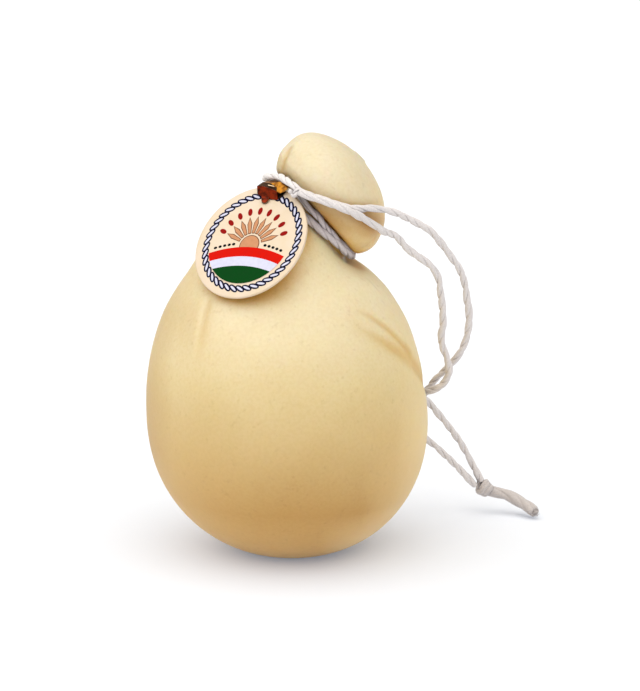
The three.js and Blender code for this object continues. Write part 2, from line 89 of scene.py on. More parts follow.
# Folds: where the lips of the groove hang lower and tuck in, by degrees from the right end to the back
Fold = namedtuple("Fold", "side spread sag tuck")
HEAD_FOLDS = [Fold(180, 28, 5, 2.5), Fold(0, 50, 4, 2.2), Fold(-90, 60, 0.8, 1.5)]
BODY_FOLDS = [Fold(-90, 50, -2.2, 0), Fold(0, 50, 1.5, 0)]
FOLD_AT_WAIST = 0.8
HEAD_FOLD_START = radians(25)
FOLD_GROWTH = 3

# Resolution of the cheese, finest at the marked right front
RINGS = {"lower": 70, "upper": 80, "shoulder": 44, "groove": 6, "head": 60}
SEGMENTS = 256
FINE_SIDE = radians(-35)
FINE_SHARE = 0.42

# The lips of the groove are rounded by averaging the rings near them
LIP_PASSES = 6
LIP_RINGS = {"body": 7, "head": 9}

# Marks in the rind: a dent has a negative depth. Each fades in over a share of its length, and some fade
# out. On the body they run from one place to another, in degrees round it and height.
MARK_SAMPLES = 24
SHORT_FADE = 0.1
BODY_MARKS = [
    {"from": (-51, 107.8), "to": (-17, 86), "bend": 1.4, "depth": -0.8, "width": 1.7, "fade": 0.5},
    {"from": (-53, 104.5), "to": (-19, 82.5), "bend": 1.3, "depth": 0.5, "width": 2.4, "fade": 0.4},
    {"from": (-58.6, 104.3), "to": (12, 61.7), "bend": 1.2,
     "depth": -1.3, "width": 3.3, "fade": 0.46, "out": 0.22},
    {"from": (-133, 113), "to": (-127, 84), "bend": 1, "depth": -0.5, "width": 2, "out": 0.6},
    {"from": (-137, 113), "to": (-131, 86), "bend": 1, "depth": 0.3, "width": 3, "out": 0.6},
]
HEAD_MARKS = [
    {"points": [(-0.5, -7, 170), (-2.5, -10.5, 165.5), (-3.7, -10.5, 160.5)],
     "depth": -0.8, "width": 2.2, "fade": 0.2},
    {"points": [(-3.5, -3, 170), (-6.5, -5, 165), (-7.5, -6, 160)], "depth": 0.5, "width": 2.4, "fade": 0.2},
]

# Lumps and hollows of the outline, which don't darken the rind as the dents of the marks do: from, to, depth
# and width
LUMPS = [
    ((27.1, 0, 164.4), (28.2, 7, 162.6), 3, 2.6),
    ((18, -7, 170), (18.6, 12, 169), -1.4, 7),
    ((24.2, -7, 167.2), (24.8, 12, 166.2), -1.3, 3),
    ((31, -7, 160.2), (31.5, 12, 159.2), -0.8, 2.4),
    ((33, -7, 156.6), (33.4, 12, 155.6), -0.8, 5),
    ((31.5, -12, 127), (31.5, 12, 126.4), 1.2, 6),
    ((-0.7, -8, 170), (-0.5, 12, 169.5), -0.5, 5),
    ((34, -16, 115), (34.4, 14, 114.6), -0.9, 5),
    ((46.5, -18, 96.4), (46.8, 14, 96), 0.5, 9),
    ((-53, -18, 100.5), (-53.3, 14, 100), 0.5, 9),
]

# Unevenness of the rind: wavelength and height
RIND_WAVES = [(34, 0.45), (13, 0.14), (4, 0.035)]

# String: ropes of plies on a helix of some radius and lay. Thick and wide are half sizes of a ply.
Rope = namedtuple("Rope", "plies helix thick wide lay")
STRAND = Rope(2, 0.58, 0.94, 1.14, 15)
TIE_ROPE = Rope(2, 0.56, 0.9, 1.1, 14)
KNOT_ROPE = Rope(2, 0.6, 0.7, 0.86, 11)
END_KNOT_ROPE = Rope(3, 0.92, 0.96, 1.15, 16)
TAIL_ROPE = Rope(4, 1.32, 1.22, 1.45, 40)
TAIL_CORE = Rope(1, 0, 1.1, 1.1, 40)
CURVE_SAMPLES = 16
ROPE_STEP = 0.4
PLY_SIDES = 20
YARNS = 5
YARN_RELIEF = 0.05
YARN_LAY = 6.5
TWIST_DRIFT = 0.8
THICKNESS_DRIFT = 0.13
DRIFT_SPAN = 7
DRIFT_SPARE = 4
END_TUCK = 1.2
CUT_ROUNDING = 0.8
CUT_END_SIZE = 0.06
SEEDS = {"string_upper": 1, "string_lower": 2, "neck_tie": 3, "tie_knot": 4, "end_knot": 5,
         "string_tail": 40, "fray": 41, "core": 42}
PLY_SEED = 10

# The tie's course round the neck: degrees from the left end towards the front, radius, way along the axis
TIE_SPREAD = 1.55
UPPER_FAN = 2.1
LOWER_FAN = 1.5
FAN_SHARPNESS = 4
FRONT_RISE = 0.75
FRONT_SIDE = 95
FRONT_SPREAD = 45
RIGHT_END = 180
RIGHT_DROP = 0.9
RIGHT_TUCK = 0.9
RIGHT_SPREAD = 50
TURN_RADIUS = 21.3
TURN_SLACK = 0.6
SLACK_SIDE = 35
JOIN_FROM = 82
JOIN_SPAN = 42
PART_FROM = 215
PART_SPAN = 60
UPPER_JOIN = 1.35
LOWER_JOIN = 1.0
JOIN_LIFT = 1.4
TIE_START = (2.1, -26, 153.8)
TIE_FIRST_POINTS = [(59, 25.6, 3.4), (69, 22.8, 2.6)]
TIE_LOOP_POINTS = [
    (672, 24.6, -0.5), (694, 24.7, -2.6), (712, 25.2, -3.4), (728, 25.9, -2.9),
    (738, 26.9, -1.2), (747, 27.5, 1), (755, 27.9, 2.6), (764, 29.1, 4),
]
TIE_END = [(0.6, -25, 155.7), (2.8, -27, 154.2), (4.8, -27.5, 152.8)]
TURNS = range(84, 660, 13)
SINK_FROM = 205
RISE_FROM = 565
CHANGE_SPAN = 130
CROSSING_AT = 630
CROSSING_WIDTH = 40
CROSSING_HUMP = 3.2

# The strand that leaves the knot higher, over the head and round behind the cheese
UPPER_ROUTE = [
    (4.9, -26.6, 152.6), (8, -28, 151.7), (11.4, -28.9, 150.6), (15.4, -28.9, 149.3),
    (19.7, -28.7, 147.8), (23.4, -27.8, 146.9), (27.5, -25.6, 146.4), (32.2, -21.8, 145.9),
    (37, -17.8, 144.7), (43.4, -14, 142.2), (50, -10, 138.3), (55.8, -7, 134.4), (60.1, -3, 129.2),
    (64.4, 1, 123.2), (68.6, 5, 116.5), (70.9, 8, 110.3), (72.2, 11, 103),
    (73.3, 14, 96.1), (73.3, 17, 89.1), (71.7, 20, 81.7), (69, 22, 76.1),
    (65.3, 24, 71.4), (60.7, 26.5, 66), (57.3, 28.5, 61), (53.8, 31, 54.5),
    (53, 34.5, 45.6), (56.8, 38.5, 37.1), (62.5, 42, 31.4), (67.9, 45.5, 25.4),
    (73.5, 49, 18.9), (78.5, 51.4, 13),
]

# The strand that leaves the knot lower and crosses in front of the other
LOWER_ROUTE = [
    (4.4, -29.8, 153.2), (7.6, -31.4, 152.1), (11.2, -32.3, 151), (15.4, -32.3, 149.5),
    (19.7, -32.3, 147.9), (24.2, -30.7, 145.6), (28.7, -26, 142.4), (32.9, -21, 139),
    (37.4, -16.6, 135.7), (42.3, -13.5, 133), (45.6, -11, 128.9), (50.2, -8, 124.7),
    (55.6, -5, 120.5), (59.1, -2, 115.5), (60.5, 1, 109.5), (61.5, 4, 102.3),
    (62.2, 7, 95), (61.8, 10, 87.6), (62.3, 12, 82.5), (64.1, 14, 77.8),
    (65.3, 16, 72.6), (64.7, 17.7, 68.3), (62.6, 19.2, 64.8), (59.6, 20.5, 62.6),
    (56, 22, 61.4), (52.7, 24.8, 60.3), (51.2, 28.5, 59), (52.4, 33, 57.4),
    (56.8, 37.5, 53.8), (62.2, 42, 47.2), (67.3, 45, 40.2), (72.1, 48, 33.2),
    (76.3, 50.5, 25.4), (81.4, 52.8, 14.9),
]

# Knots, wound round an axis, narrower at their ends
TIE_KNOT = {"centre": (1.7, -28, 153.1), "axis": (0.873, -0.472, 0.115),
            "reach": 2.9, "radius": 0.9, "turns": 1.2}
END_KNOT = {"centre": (83.3, 53, 10.7), "axis": (0.906, 0, -0.423),
            "reach": 2.1, "radius": 2.2, "turns": 2.1}
KNOT_SAMPLES = 160
KNOT_END_SHARE = 0.55

# Tail: its plies end up to so many steps short of its route, and fibres start a few steps back from there
TAIL_ROUTE = [(88.2, 53.1, 8.8), (93.3, 51.4, 8), (99.2, 47.5, 5.7), (105.6, 40.1, 2.6)]
TAIL_SAMPLES = 24
TAIL_TUCK = 3.4
PLY_CUTS = 5
CORE_CUT = 1
FRAY_BACK = 5
FRAY_WAY_BACK = 8
FRAY = {"count": 90, "length": 1.8, "shortest": 0.3, "radius": 0.16, "roots": 0.75, "spread": 0.6}
FIBRE_CORNERS = (0, 2.1, 4.2)
FIBRE_SIDE = (0.3, 0.4, 0.9)

# Tag: x to its right, y up to the hole, z out of its face
TAG_RADIUS = 24.9
TAG_THICKNESS = 1.2
TAG_EDGE = 0.25
TAG_EDGE_CORNER = 0.3
TAG_BACK_CENTRE = np.array([-15.5, -27.4, 132.8])
TAG_TURN = radians(-34)
TAG_RISE = radians(37)
TAG_ROLL = radians(4)
TAG_HOLE_RADIUS = 1.7
TAG_HOLE_SIDE = 0.8
TAG_HOLE_HEIGHT = 19
TAG_SEGMENTS = 128
TAG_BANDS = 12

# Print on the tag: a rope ring, hills in three bands, and a rising sun with drops and dots round it.
# The halves of an oval are half its length and half its width.
INK_SUNK = 0.02
INK_HEIGHT = 0.04
DISC_POINTS = 96
OVAL_POINTS = 18
RING_RADIUS = 20.9
RING_SIDE = 0.7
RING_BEADS = 42
BEAD_HALVES = (1.8, 0.47)
BEAD_OUTLINE = 0.72
BEAD_SLANT = radians(30)
FIELD_RADIUS = 18.6
HILL_LEVELS = [("red", -2.4), ("white", -6.6), ("green", -10.8)]
HILL_BEND = 0.011
HILL_LAYER = 2
HILL_SEARCH = 400
HILL_RIM_POINTS = 64
HILL_CREST_POINTS = 42
SUN_CENTRE_Y = -1.5
SUN_RADIUS = 4.2
RAYS = 9
RAY_FROM = 5.6
RAY_TO = 12.4
RAY_HALF_WIDTH = 0.75
RAY_ROOT_SHARE = 0.6
RAY_WIDEST = 0.8
RAY_OUTLINE = 0.35
RAY_FAN = radians(136)
DROP_AT = 15.4
DROP_HALVES = (1.7, 1)
DOT_SIDES = (7.4, 9.4, 11.4, 13.4, 15.4)
DOT_RISE = 1.7
DOT_HALVES = (0.75, 0.6)

# Clip, in its own frame: x to its right, y away from its front, z up
CLIP_FOOT = np.array([-9.9, -18.7, 150.4])
CLIP_ROLL = radians(4)
CLIP_SHEET = 0.5
CLIP_ROUNDING = 0.1
CLIP_ROUNDING_STEPS = 2
# Plates of the clip, each in one copy of its metal: red, dark and gold are shaded and lit copies of one
# coppery metal
CLIP_PLATES = [
    ("red", [(-4.7, 0, 3.3), (-2.2, 0, 3.6), (0.7, 0, 3.4), (5, 0, 2.6),
             (5.6, 0, -0.7), (3.2, 0, -1), (-2, 0, -0.6), (-4.4, 0, 0.2)]),
    ("dark", [(-4.7, 0, 3.3), (-3.8, 2.5, 4.7), (0.2, 2.5, 4.8), (3.5, 1.6, 3.8), (5, 0, 2.6)]),
    ("gold", [(-3.8, 2.5, 4.7), (0.2, 2.5, 4.8), (3.5, 1.6, 3.8), (3.9, 3, 6), (2, 5, 5.9), (-3.2, 8, 5)]),
    ("gold", [(5, 0, 2.6), (4.3, 1, 4.2), (3.9, 3, 6.1), (6.6, 3, 5.8), (8.8, 3, 5.3),
              (9, 1.5, 4), (8.5, 0.5, 3.1), (6.9, 0, 2.2)]),
    # painted shade at the far end of the top
    ("dark", [(8.6, 2.9, 5.4), (10, 2.9, 5.1), (9.8, 2.4, 4.5), (9.1, 1.9, 4.5)]),
    # a painted glint: a thin bright plate along the front of the top
    ("painted_glint", [(-0.1, 0.9, 4.5), (3, 0.9, 4.35), (3.2, 0.7, 4.1), (0.2, 0.7, 4.2)]),
    ("red", [(-3.2, 7.6, 4.75), (-1.6, 7.6, 4.85), (-1.6, 10.2, 3.9), (-3.2, 10.2, 3.8)]),
]
EYE_DEGREES = 384
EYE_RADIUS = 2.1
EYE_WIRE = 0.35
EYE_STEPS = 32
EYE_WIRE_SIDES = 12

# A dark sheet on the tag's face as painted shadow of the clip, and the clip's tongue that lies on it, in the
# tag's (x, y), and the height of their upper side
SHADOW_SHEET_OUTLINE = [(4.4, 23.9), (6.9, 23.3), (7.6, 23.9), (9.2, 22.7), (8.4, 21.4), (7.8, 20), (6.2, 19.4)]
SHADOW_SHEET_TOP = 1.75
TONGUE_OUTLINE = [
    (-1.3, 21.2), (2.6, 20.9), (2.6, 19), (2.2, 18), (1.4, 17.4), (0.5, 17.3), (-0.3, 17.8), (-0.8, 18.8),
]
TONGUE_TOP = 2.1

OCCLUSION_SAMPLES = 8

# Rind: its colour by height, as a share of the whole, partly painted light and shade, and specks of noise
# over it
CHEESE_HEIGHT = 173
# Partly the rind's own tone and partly painted light and shade: darker and more golden low on the body,
# lighter near the neck, darker again on the head
RIND_TONE_LIGHT_AND_SHADE = [
    (0, (0.68, 0.46, 0.19)),
    (0.16, (0.53, 0.325, 0.095)),
    (0.3, (0.6, 0.435, 0.19)),
    (0.45, (0.69, 0.56, 0.3)),
    (0.62, (0.76, 0.66, 0.44)),
    (0.76, (0.88, 0.79, 0.53)),
    (0.86, (0.72, 0.63, 0.44)),
    (1, (0.68, 0.6, 0.42)),
]
RIND_SPECKS = [
    ({"wavelength": 26, "low": 0.35, "high": 0.65}, (0.97, 0.95, 0.9)),
    ({"wavelength": 1.3, "low": 0.4, "high": 0.62}, (0.97, 0.955, 0.92)),
    ({"wavelength": 2.4, "low": 0.6, "high": 0.72, "detail": 3}, (0.93, 0.91, 0.88)),
]

# Painted light and shade on the rind, and the marks darker in their dents, one laid over the other, each
# where all its ramps overlap. A ramp runs over the height, the normal's x or z, the cover by other surfaces
# or the marks, from one value to another, and gives 0 to 1 or the two shares that follow.
LOWER_HALF = ("height", 0.42, 0.12)
ABOVE_BASE = ("height", 0.12, 0.28)
ABOVE_BELLY = ("height", 0.5, 0.6)
# Under the head, where painted shade falls, and the right shoulder, where the painted shade under cover is
# kept lighter
UNDER_HEAD = [("height", 0.74, 0.8), ("height", 0.83, 0.9, 1, 0.2), ("normal_z", 0.3, -0.45)]
RIGHT_SHOULDER = [("normal_x", 0.42, 0.6), ("normal_z", 0, 0.4)]
RIGHT_SHOULDER_COVER = 0.2
RIND_TINTS = [
    # painted shade where the rind faces down
    ("MULTIPLY", (0.92, 0.84, 0.69), [("normal_z", 0.3, -0.8)]),
    # painted light on the lower right side
    ("MIX", (0.86, 0.63, 0.29), [LOWER_HALF, ("normal_x", 0.5, 0.9, 0, 0.8)]),
    # painted light on the lower left side
    ("MIX", (0.84, 0.6, 0.25), [LOWER_HALF, ("normal_x", -0.2, -0.7, 0, 0.25)]),
    # painted light along the bottom edge, on the right
    ("MIX", (0.8, 0.57, 0.27), [("height", 0.15, 0.04), ("normal_x", 0.2, 0.55)]),
    # painted shade along the left edge
    ("MULTIPLY", (0.84, 0.75, 0.58), [ABOVE_BASE, ("normal_x", -0.78, -0.98)]),
    # painted light along the right edge
    ("MIX", (0.85, 0.67, 0.33), [ABOVE_BASE, ("normal_x", 0.75, 0.97, 0, 0.5)]),
    # painted shade on the upper left of the body
    ("MULTIPLY", (0.88, 0.82, 0.72), [ABOVE_BELLY, ("height", 0.76, 0.7), ("normal_x", -0.35, -0.75)]),
    # painted shade under the head
    ("MULTIPLY", (0.78, 0.64, 0.45), UNDER_HEAD),
    # more painted shade under the head, on its right
    ("MULTIPLY", (0.88, 0.71, 0.4), [*UNDER_HEAD, ("normal_x", 0.3, 0.65)]),
    # painted shade where other surfaces cover the rind, as under the tag, the strings and the head
    ("MULTIPLY", (0.78, 0.53, 0.2), [("cover", 0, 1), ABOVE_BELLY, ("height", 0.82, 0.88, 1, 0.2)]),
    # the marks darker in their dents
    ("MULTIPLY", (0.9, 0.76, 0.52), [("mark", 0, -0.9)]),
]

# Cotton: two colours of its threads, painted shade in crevices, and painted shade right of the knot, under
# the head
# The tie's is a lighter copy and the tail's a darker copy: lit and shaded copies of one cotton
COTTON = ((0.745, 0.7, 0.685), (0.625, 0.585, 0.575), (0.48, 0.46, 0.48))
TIED_COTTON = ((0.8, 0.76, 0.74), (0.68, 0.645, 0.63), (0.48, 0.46, 0.48), (0.77, 0.74, 0.78))
# a darker copy for the tail and its knot, as painted shade
SHADED_COTTON = ((0.565, 0.52, 0.5), (0.475, 0.435, 0.42), (0.85, 0.83, 0.83))
SHELTER_REACH = 9

# Card, inks, and metals: colour, colour of the tarnish and roughness
CARD_COLOURS = ((0.695, 0.56, 0.42), (0.675, 0.54, 0.375))
# painted shade on the card where other surfaces are near: its rim by the cheese, the clip and the knot
CARD_CREVICE_SHADE = (0.6, 0.46, 0.32)
INKS = {
    "navy": (0.006, 0.006, 0.03),
    "white": (0.62, 0.62, 0.76),
    "red": (0.6, 0.006, 0.001),
    "green": (0.001, 0.052, 0.006),
    "copper": (0.55, 0.26, 0.13),
    "brown": (0.16, 0.07, 0.035),
    "crimson": (0.27, 0.006, 0.005),
    "black": (0.006, 0.006, 0.008),
}
INK_WEAR = (0.9, 0.002)
# The clip's metals are lit and shaded copies of one coppery metal: gold on lit faces, red on faces in shade,
# dark for deeper shade, and a painted glint
METALS = {
    "red": ((0.23, 0.02, 0.0015), (0.03, 0.005, 0.001), 0.32),
    "gold": ((0.46, 0.19, 0.018), (0.15, 0.05, 0.005), 0.3),
    "dark": ((0.02, 0.01, 0.004), (0.05, 0.02, 0.006), 0.4),
    # a painted glint on the clip
    "painted_glint": ((0.95, 0.75, 0.5), (0.85, 0.6, 0.35), 0.3),
}

# Floor, which glows in one colour in the open and in another under cover, and light
FLOOR_COLOURS = ((0.745, 0.765, 0.805), (0.75, 0.77, 0.81))
FLOOR_GLOW = ((0.38, 0.41, 0.46), (0.56, 0.72, 1))
WORLD_COLOUR = (1, 0.95, 0.86, 1)
SUN_STRENGTH = 3
SUN_SOFTNESS = radians(110)
SUN_FROM = Vector((-0.22, -0.4, 1.2))
WORLD_STRENGTH = 0.5
FLOOR_HALF = 12000


# Mesh helpers

def add_object(name, data):
    """A new object in the scene."""
    made = bpy.data.objects.new(name, data)
    bpy.context.collection.objects.link(made)
    return made


def make_piece(name, node, vertices, faces, materials, face_materials=None, smooth=True):
    """A closed mesh of points in millimetres, fixed to the one body, in place of a node if one is named."""
    mesh = bpy.data.meshes.new(name)
    mesh.from_pydata((np.asarray(vertices) * MM).tolist(), [], faces)
    for material in materials:
        mesh.materials.append(material)
    if face_materials is not None:
        mesh.polygons.foreach_set("material_index", face_materials)
    mesh.polygons.foreach_set("use_smooth", [smooth] * len(mesh.polygons))
    work = bmesh.new()
    work.from_mesh(mesh)
    bmesh.ops.recalc_face_normals(work, faces=work.faces)
    work.to_mesh(mesh)
    work.free()
    piece = add_object(name, mesh)
    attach(piece, "root")
    if node:
        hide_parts(node)
    return piece


def grid_faces(rows, columns, first=0, ring=False):
    """Quads between closed rows of points, in a ring also from the last row to the first."""
    count = rows * columns
    faces = []
    for i in range(rows if ring else rows - 1):
        for j in range(columns):
            a = i * columns + j
            b = i * columns + (j + 1) % columns
            faces.append(tuple(first + k % count for k in (a, b, b + columns, a + columns)))
    return faces


def rotated(points, first_axis, second_axis, angle):
    """Points turned in the plane of two axes, from the first towards the second."""
    turned = points.copy()
    a, b = points[:, first_axis], points[:, second_axis]
    turned[:, first_axis] = a * cos(angle) - b * sin(angle)
    turned[:, second_axis] = a * sin(angle) + b * cos(angle)
    return turned


def normalised(vectors):
    """The same directions, one unit long."""
    return vectors / np.linalg.norm(vectors, axis=-1, keepdims=True)


# Curves

def catmull_rom(points, samples):
    """A centripetal Catmull-Rom curve through the points, with so many samples between two of them."""
    points = np.asarray(points, float)
    ends = [2 * points[0] - points[1], 2 * points[-1] - points[-2]]
    padded = np.vstack([ends[:1], points, ends[1:]])
    t = (np.arange(samples) / samples)[:, None]
    curve = []
    for p0, p1, p2, p3 in zip(padded, padded[1:], padded[2:], padded[3:]):
        d0, d1, d2 = (np.linalg.norm(b - a) ** 0.5 for a, b in ((p0, p1), (p1, p2), (p2, p3)))
        m1 = d1 * ((p1 - p0) / d0 - (p2 - p0) / (d0 + d1) + (p2 - p1) / d1)
        m2 = d1 * ((p2 - p1) / d1 - (p3 - p1) / (d1 + d2) + (p3 - p2) / d2)
        bend = 2 * p1 - 2 * p2 + m1 + m2
        curve.append(p1 + m1 * t + (3 * p2 - 3 * p1 - 2 * m1 - m2) * t ** 2 + bend * t ** 3)
    return np.vstack([*curve, points[-1:]])


def evenly(points, step):
    """The same line with points at even distances."""
    along = np.concatenate([[0], np.cumsum(np.linalg.norm(np.diff(points, axis=0), axis=1))])
    stops = np.linspace(0, along[-1], max(int(along[-1] / step), 2) + 1)
    return np.stack([np.interp(stops, along, points[:, k]) for k in range(3)], axis=1), stops


def tucked(points, reach):
    """The line made longer at both ends."""
    start = points[0] + reach * normalised(points[0] - points[1])
    end = points[-1] + reach * normalised(points[-1] - points[-2])
    return np.vstack([start, points, end])


def carried_frames(points):
    """Tangents and two side directions that don't spin along the line."""
    tangents = normalised(np.gradient(points, axis=0))
    side = np.cross(tangents[0], (0, 0, 1))
    sides = []
    for tangent in tangents:
        side = side - tangent * side.dot(tangent)
        side = side / np.linalg.norm(side)
        sides.append(side)
    sides = np.array(sides)
    return tangents, sides, np.cross(tangents, sides)


def smooth_step(t):
    """From 0 to 1 with a smooth start and end."""
    t = np.clip(t, 0, 1)
    return t * t * (3 - 2 * t)


def drift(stops, span, seed):
    """A smooth seeded wander along a line, about one unit high."""
    rng = np.random.default_rng(seed)
    knots = rng.normal(size=int(stops[-1] / span) + DRIFT_SPARE)
    place = stops / span
    low = place.astype(int)
    part = smooth_step(place - low)
    return knots[low] * (1 - part) + knots[low + 1] * part


# String

def rope(path, kind, seed, ends=None):
    """Twisted plies along a path: vertices, faces and the centre line.

    Ends gives how many steps each ply ends before the path does, and rounds its cut end.
    """
    centres, stops = evenly(path, ROPE_STEP)
    tangents, sides, ups = carried_frames(centres)
    around = np.linspace(0, 2 * pi, PLY_SIDES, endpoint=False)
    vertices = []
    faces = []
    for ply in range(kind.plies):
        count = len(stops) - (ends[ply] if ends is not None else 0)
        turn = 2 * pi * (stops / kind.lay + ply / kind.plies)
        turn = turn + TWIST_DRIFT * drift(stops, 2 * DRIFT_SPAN, seed)
        level, upright = np.cos(turn)[:, None], np.sin(turn)[:, None]
        out = level * sides + upright * ups
        slope = 2 * pi * kind.helix / kind.lay
        lead = normalised(tangents + slope * (level * ups - upright * sides))
        flank = np.cross(lead, out)
        fullness = 1 + THICKNESS_DRIFT * drift(stops, DRIFT_SPAN, seed + PLY_SEED + ply)
        twist = around[None, :] * YARNS + (2 * pi * stops / YARN_LAY)[:, None]
        if ends is not None:
            past = np.clip((stops - stops[count - 1]) / CUT_ROUNDING + 1, 0, 1)
            fullness = fullness * np.sqrt(np.clip(1 - past ** 2, CUT_END_SIZE, 1))
        size = fullness[:, None] * (1 + YARN_RELIEF * np.cos(twist))
        wide = (size * np.sin(around) * kind.wide)[:, :, None]
        thick = (size * np.cos(around) * kind.thick)[:, :, None]
        middle = centres + out * kind.helix
        rings = middle[:, None, :] + thick * out[:, None, :] + wide * flank[:, None, :]
        rings = rings[:count]
        first = sum(len(v) for v in vertices)
        vertices.append(rings.reshape(-1, 3))
        faces += grid_faces(count, PLY_SIDES, first)
        for end in (first, first + (count - 1) * PLY_SIDES):
            faces.append(tuple(range(end, end + PLY_SIDES)))
    return np.vstack(vertices), faces, centres


def neck_point(degrees, radius, along):
    """A point round the neck, so far from its axis and so far along it from the plane of the string."""
    angle = radians(degrees)
    x, z = TIE_CENTRE - radius * cos(angle) * NECK_ACROSS + along * NECK_AXIS
    return np.array([x, -radius * sin(angle), z])


def turn_point(degrees):
    """The turns: one high and one low in the groove, parted at the left end, joined at the right end."""
    around = degrees % 360
    parted = ((1 + cos(radians(degrees))) / 2) ** FAN_SHARPNESS
    joined = smooth_step((around - JOIN_FROM) / JOIN_SPAN) - smooth_step((around - PART_FROM) / PART_SPAN)
    rise = FRONT_RISE * exp(-(((around - FRONT_SIDE) / FRONT_SPREAD) ** 2))
    at_right = exp(-(((around - RIGHT_END) / RIGHT_SPREAD) ** 2))
    upper = TIE_SPREAD + UPPER_FAN * parted - UPPER_JOIN * joined
    lower = TIE_SPREAD + LOWER_FAN * parted - LOWER_JOIN * joined
    low = smooth_step((degrees - SINK_FROM) / CHANGE_SPAN) - smooth_step((degrees - RISE_FROM) / CHANGE_SPAN)
    hump = CROSSING_HUMP * exp(-(((degrees - CROSSING_AT) / CROSSING_WIDTH) ** 2))
    slack = TURN_SLACK * (1 + cos(radians(degrees + SLACK_SIDE)))
    radius = TURN_RADIUS + slack + hump + JOIN_LIFT * joined * low - RIGHT_TUCK * at_right
    return neck_point(degrees, radius, rise - RIGHT_DROP * at_right + upper * (1 - low) - lower * low)


def tie_path():
    """Out of the knot, twice round the neck, in a slack loop over the clip and back to the knot."""
    points = [TIE_START]
    points += [neck_point(*p) for p in TIE_FIRST_POINTS]
    points += [turn_point(degrees) for degrees in TURNS]
    points += [neck_point(*p) for p in TIE_LOOP_POINTS]
    return catmull_rom(points + TIE_END, CURVE_SAMPLES)


def strand_path(route):
    """The way of a free strand, from inside one knot to inside the other."""
    return tucked(catmull_rom(route, CURVE_SAMPLES), END_TUCK)


def knot_path(knot):
    """The way of a knot, wound tightly round its axis."""
    axis = normalised(np.array(knot["axis"], float))
    up = normalised(np.cross(axis, (0, 1, 0)))
    side = np.cross(up, axis)
    t = np.linspace(0, 1, KNOT_SAMPLES)[:, None]
    angle = 2 * pi * knot["turns"] * t
    belly = knot["radius"] * (KNOT_END_SHARE + (1 - KNOT_END_SHARE) * np.sin(pi * t))
    winding = (2 * t - 1) * knot["reach"] * axis + belly * (np.cos(angle) * up + np.sin(angle) * side)
    return np.array(knot["centre"]) + winding


def make_string(name, node, path, kind, material):
    """A piece of string along a path, and its centre line."""
    vertices, faces, centres = rope(path, kind, SEEDS[node])
    return make_piece(name, node, vertices, faces, [material]), centres


def fray_fibres(tip, way, rng):
    """Short tapered fibres that spread from a cut end."""
    vertices = []
    faces = []
    for _ in range(FRAY["count"]):
        root = tip + rng.normal(scale=FRAY["roots"], size=3)
        heading = normalised(way + rng.normal(scale=FRAY["spread"], size=3))
        side = normalised(np.cross(heading, FIBRE_SIDE))
        up = np.cross(heading, side)
        first = len(vertices)
        for angle in FIBRE_CORNERS:
            vertices.append(root + FRAY["radius"] * (cos(angle) * side + sin(angle) * up))
        vertices.append(root + heading * FRAY["length"] * rng.uniform(FRAY["shortest"], 1))
        a, b, c, d = range(first, first + 4)
        faces += [(a, b, c), (a, b, d), (b, c, d), (c, a, d)]
    return np.array(vertices), faces


def make_tail(material):
    """The doubled end of the string, half untwisted and frayed at its cut end."""
    path = tucked(catmull_rom(TAIL_ROUTE, TAIL_SAMPLES), TAIL_TUCK)[:-1]
    rng = np.random.default_rng(SEEDS["fray"])
    cuts = rng.integers(0, PLY_CUTS, TAIL_ROPE.plies)
    vertices, faces, centres = rope(path, TAIL_ROPE, SEEDS["string_tail"], cuts)
    core, core_faces, _ = rope(path, TAIL_CORE, SEEDS["core"], [CORE_CUT])
    way = normalised(centres[-1] - centres[-FRAY_WAY_BACK])
    fibres, fibre_faces = fray_fibres(centres[-FRAY_BACK], way, rng)
    for points, made in ((core, core_faces), (fibres, fibre_faces)):
        faces += [tuple(i + len(vertices) for i in face) for face in made]
        vertices = np.vstack([vertices, points])
    return make_piece("frayed_tail", "string_tail", vertices, faces, [material])


# Cheese

def body_rings(psi):
    """Rings of the egg as rows of x, z, radius, tilt and shares in the folds of the head and the body."""
    below = psi < 0
    reach = np.where(below, BELLY_HEIGHT / sin(LOWEST), UPPER_HEIGHT)
    fullness = np.where(below, LOWER_FULLNESS, UPPER_FULLNESS)
    z = BELLY_HEIGHT + reach * np.sin(psi)
    radius = BELLY_RADIUS * np.cos(psi) ** fullness
    return np.stack([z * tan(BODY_LEAN), z, radius, 0 * z, 0 * z, 0 * z], axis=1)


def side_curve(start, up, end, side, t):
    """One side of the shoulder, from the body to the neck, in (x, z)."""
    third = np.linalg.norm(end - start) / 3
    way_in = side["across"] * NECK_ACROSS + side["along"] * NECK_AXIS
    leave = start + up * third * side["leave"]
    arrive = end - way_in * third * side["arrive"]
    return (1 - t) ** 3 * start + 3 * (1 - t) ** 2 * t * leave + 3 * (1 - t) * t ** 2 * arrive + t ** 3 * end


def shoulder_rings(start):
    """Rings that fan from level to the tilt of the neck, between two side curves."""
    x, z, radius = start[:3]
    lip = TIE_CENTRE - LIP_HALF_WIDTH * NECK_AXIS
    tilt = NECK_TILT - GROOVE_FAN
    across = BODY_LIP_RADIUS * np.array([cos(tilt), -sin(tilt)])
    rise = UPPER_HEIGHT * cos(SHOULDER_START)
    narrowing = BELLY_RADIUS * UPPER_FULLNESS * sin(SHOULDER_START)
    narrowing *= cos(SHOULDER_START) ** (UPPER_FULLNESS - 1)
    t = (np.arange(1, RINGS["shoulder"] + 1) / RINGS["shoulder"])[:, None]
    curves = []
    for way, side in ((-1, LEFT_SIDE), (1, RIGHT_SIDE)):
        up = normalised(np.array([-way * narrowing, rise]))
        curves.append(side_curve(np.array([x + way * radius, z]), up, lip + way * across, side, t))
    left, right = curves
    middle = (left + right) / 2
    span = right - left
    size = np.linalg.norm(span, axis=1) / 2
    tilts = np.arctan2(-span[:, 1], span[:, 0])
    return np.column_stack([middle, size, tilts, 0 * size, t ** FOLD_GROWTH])


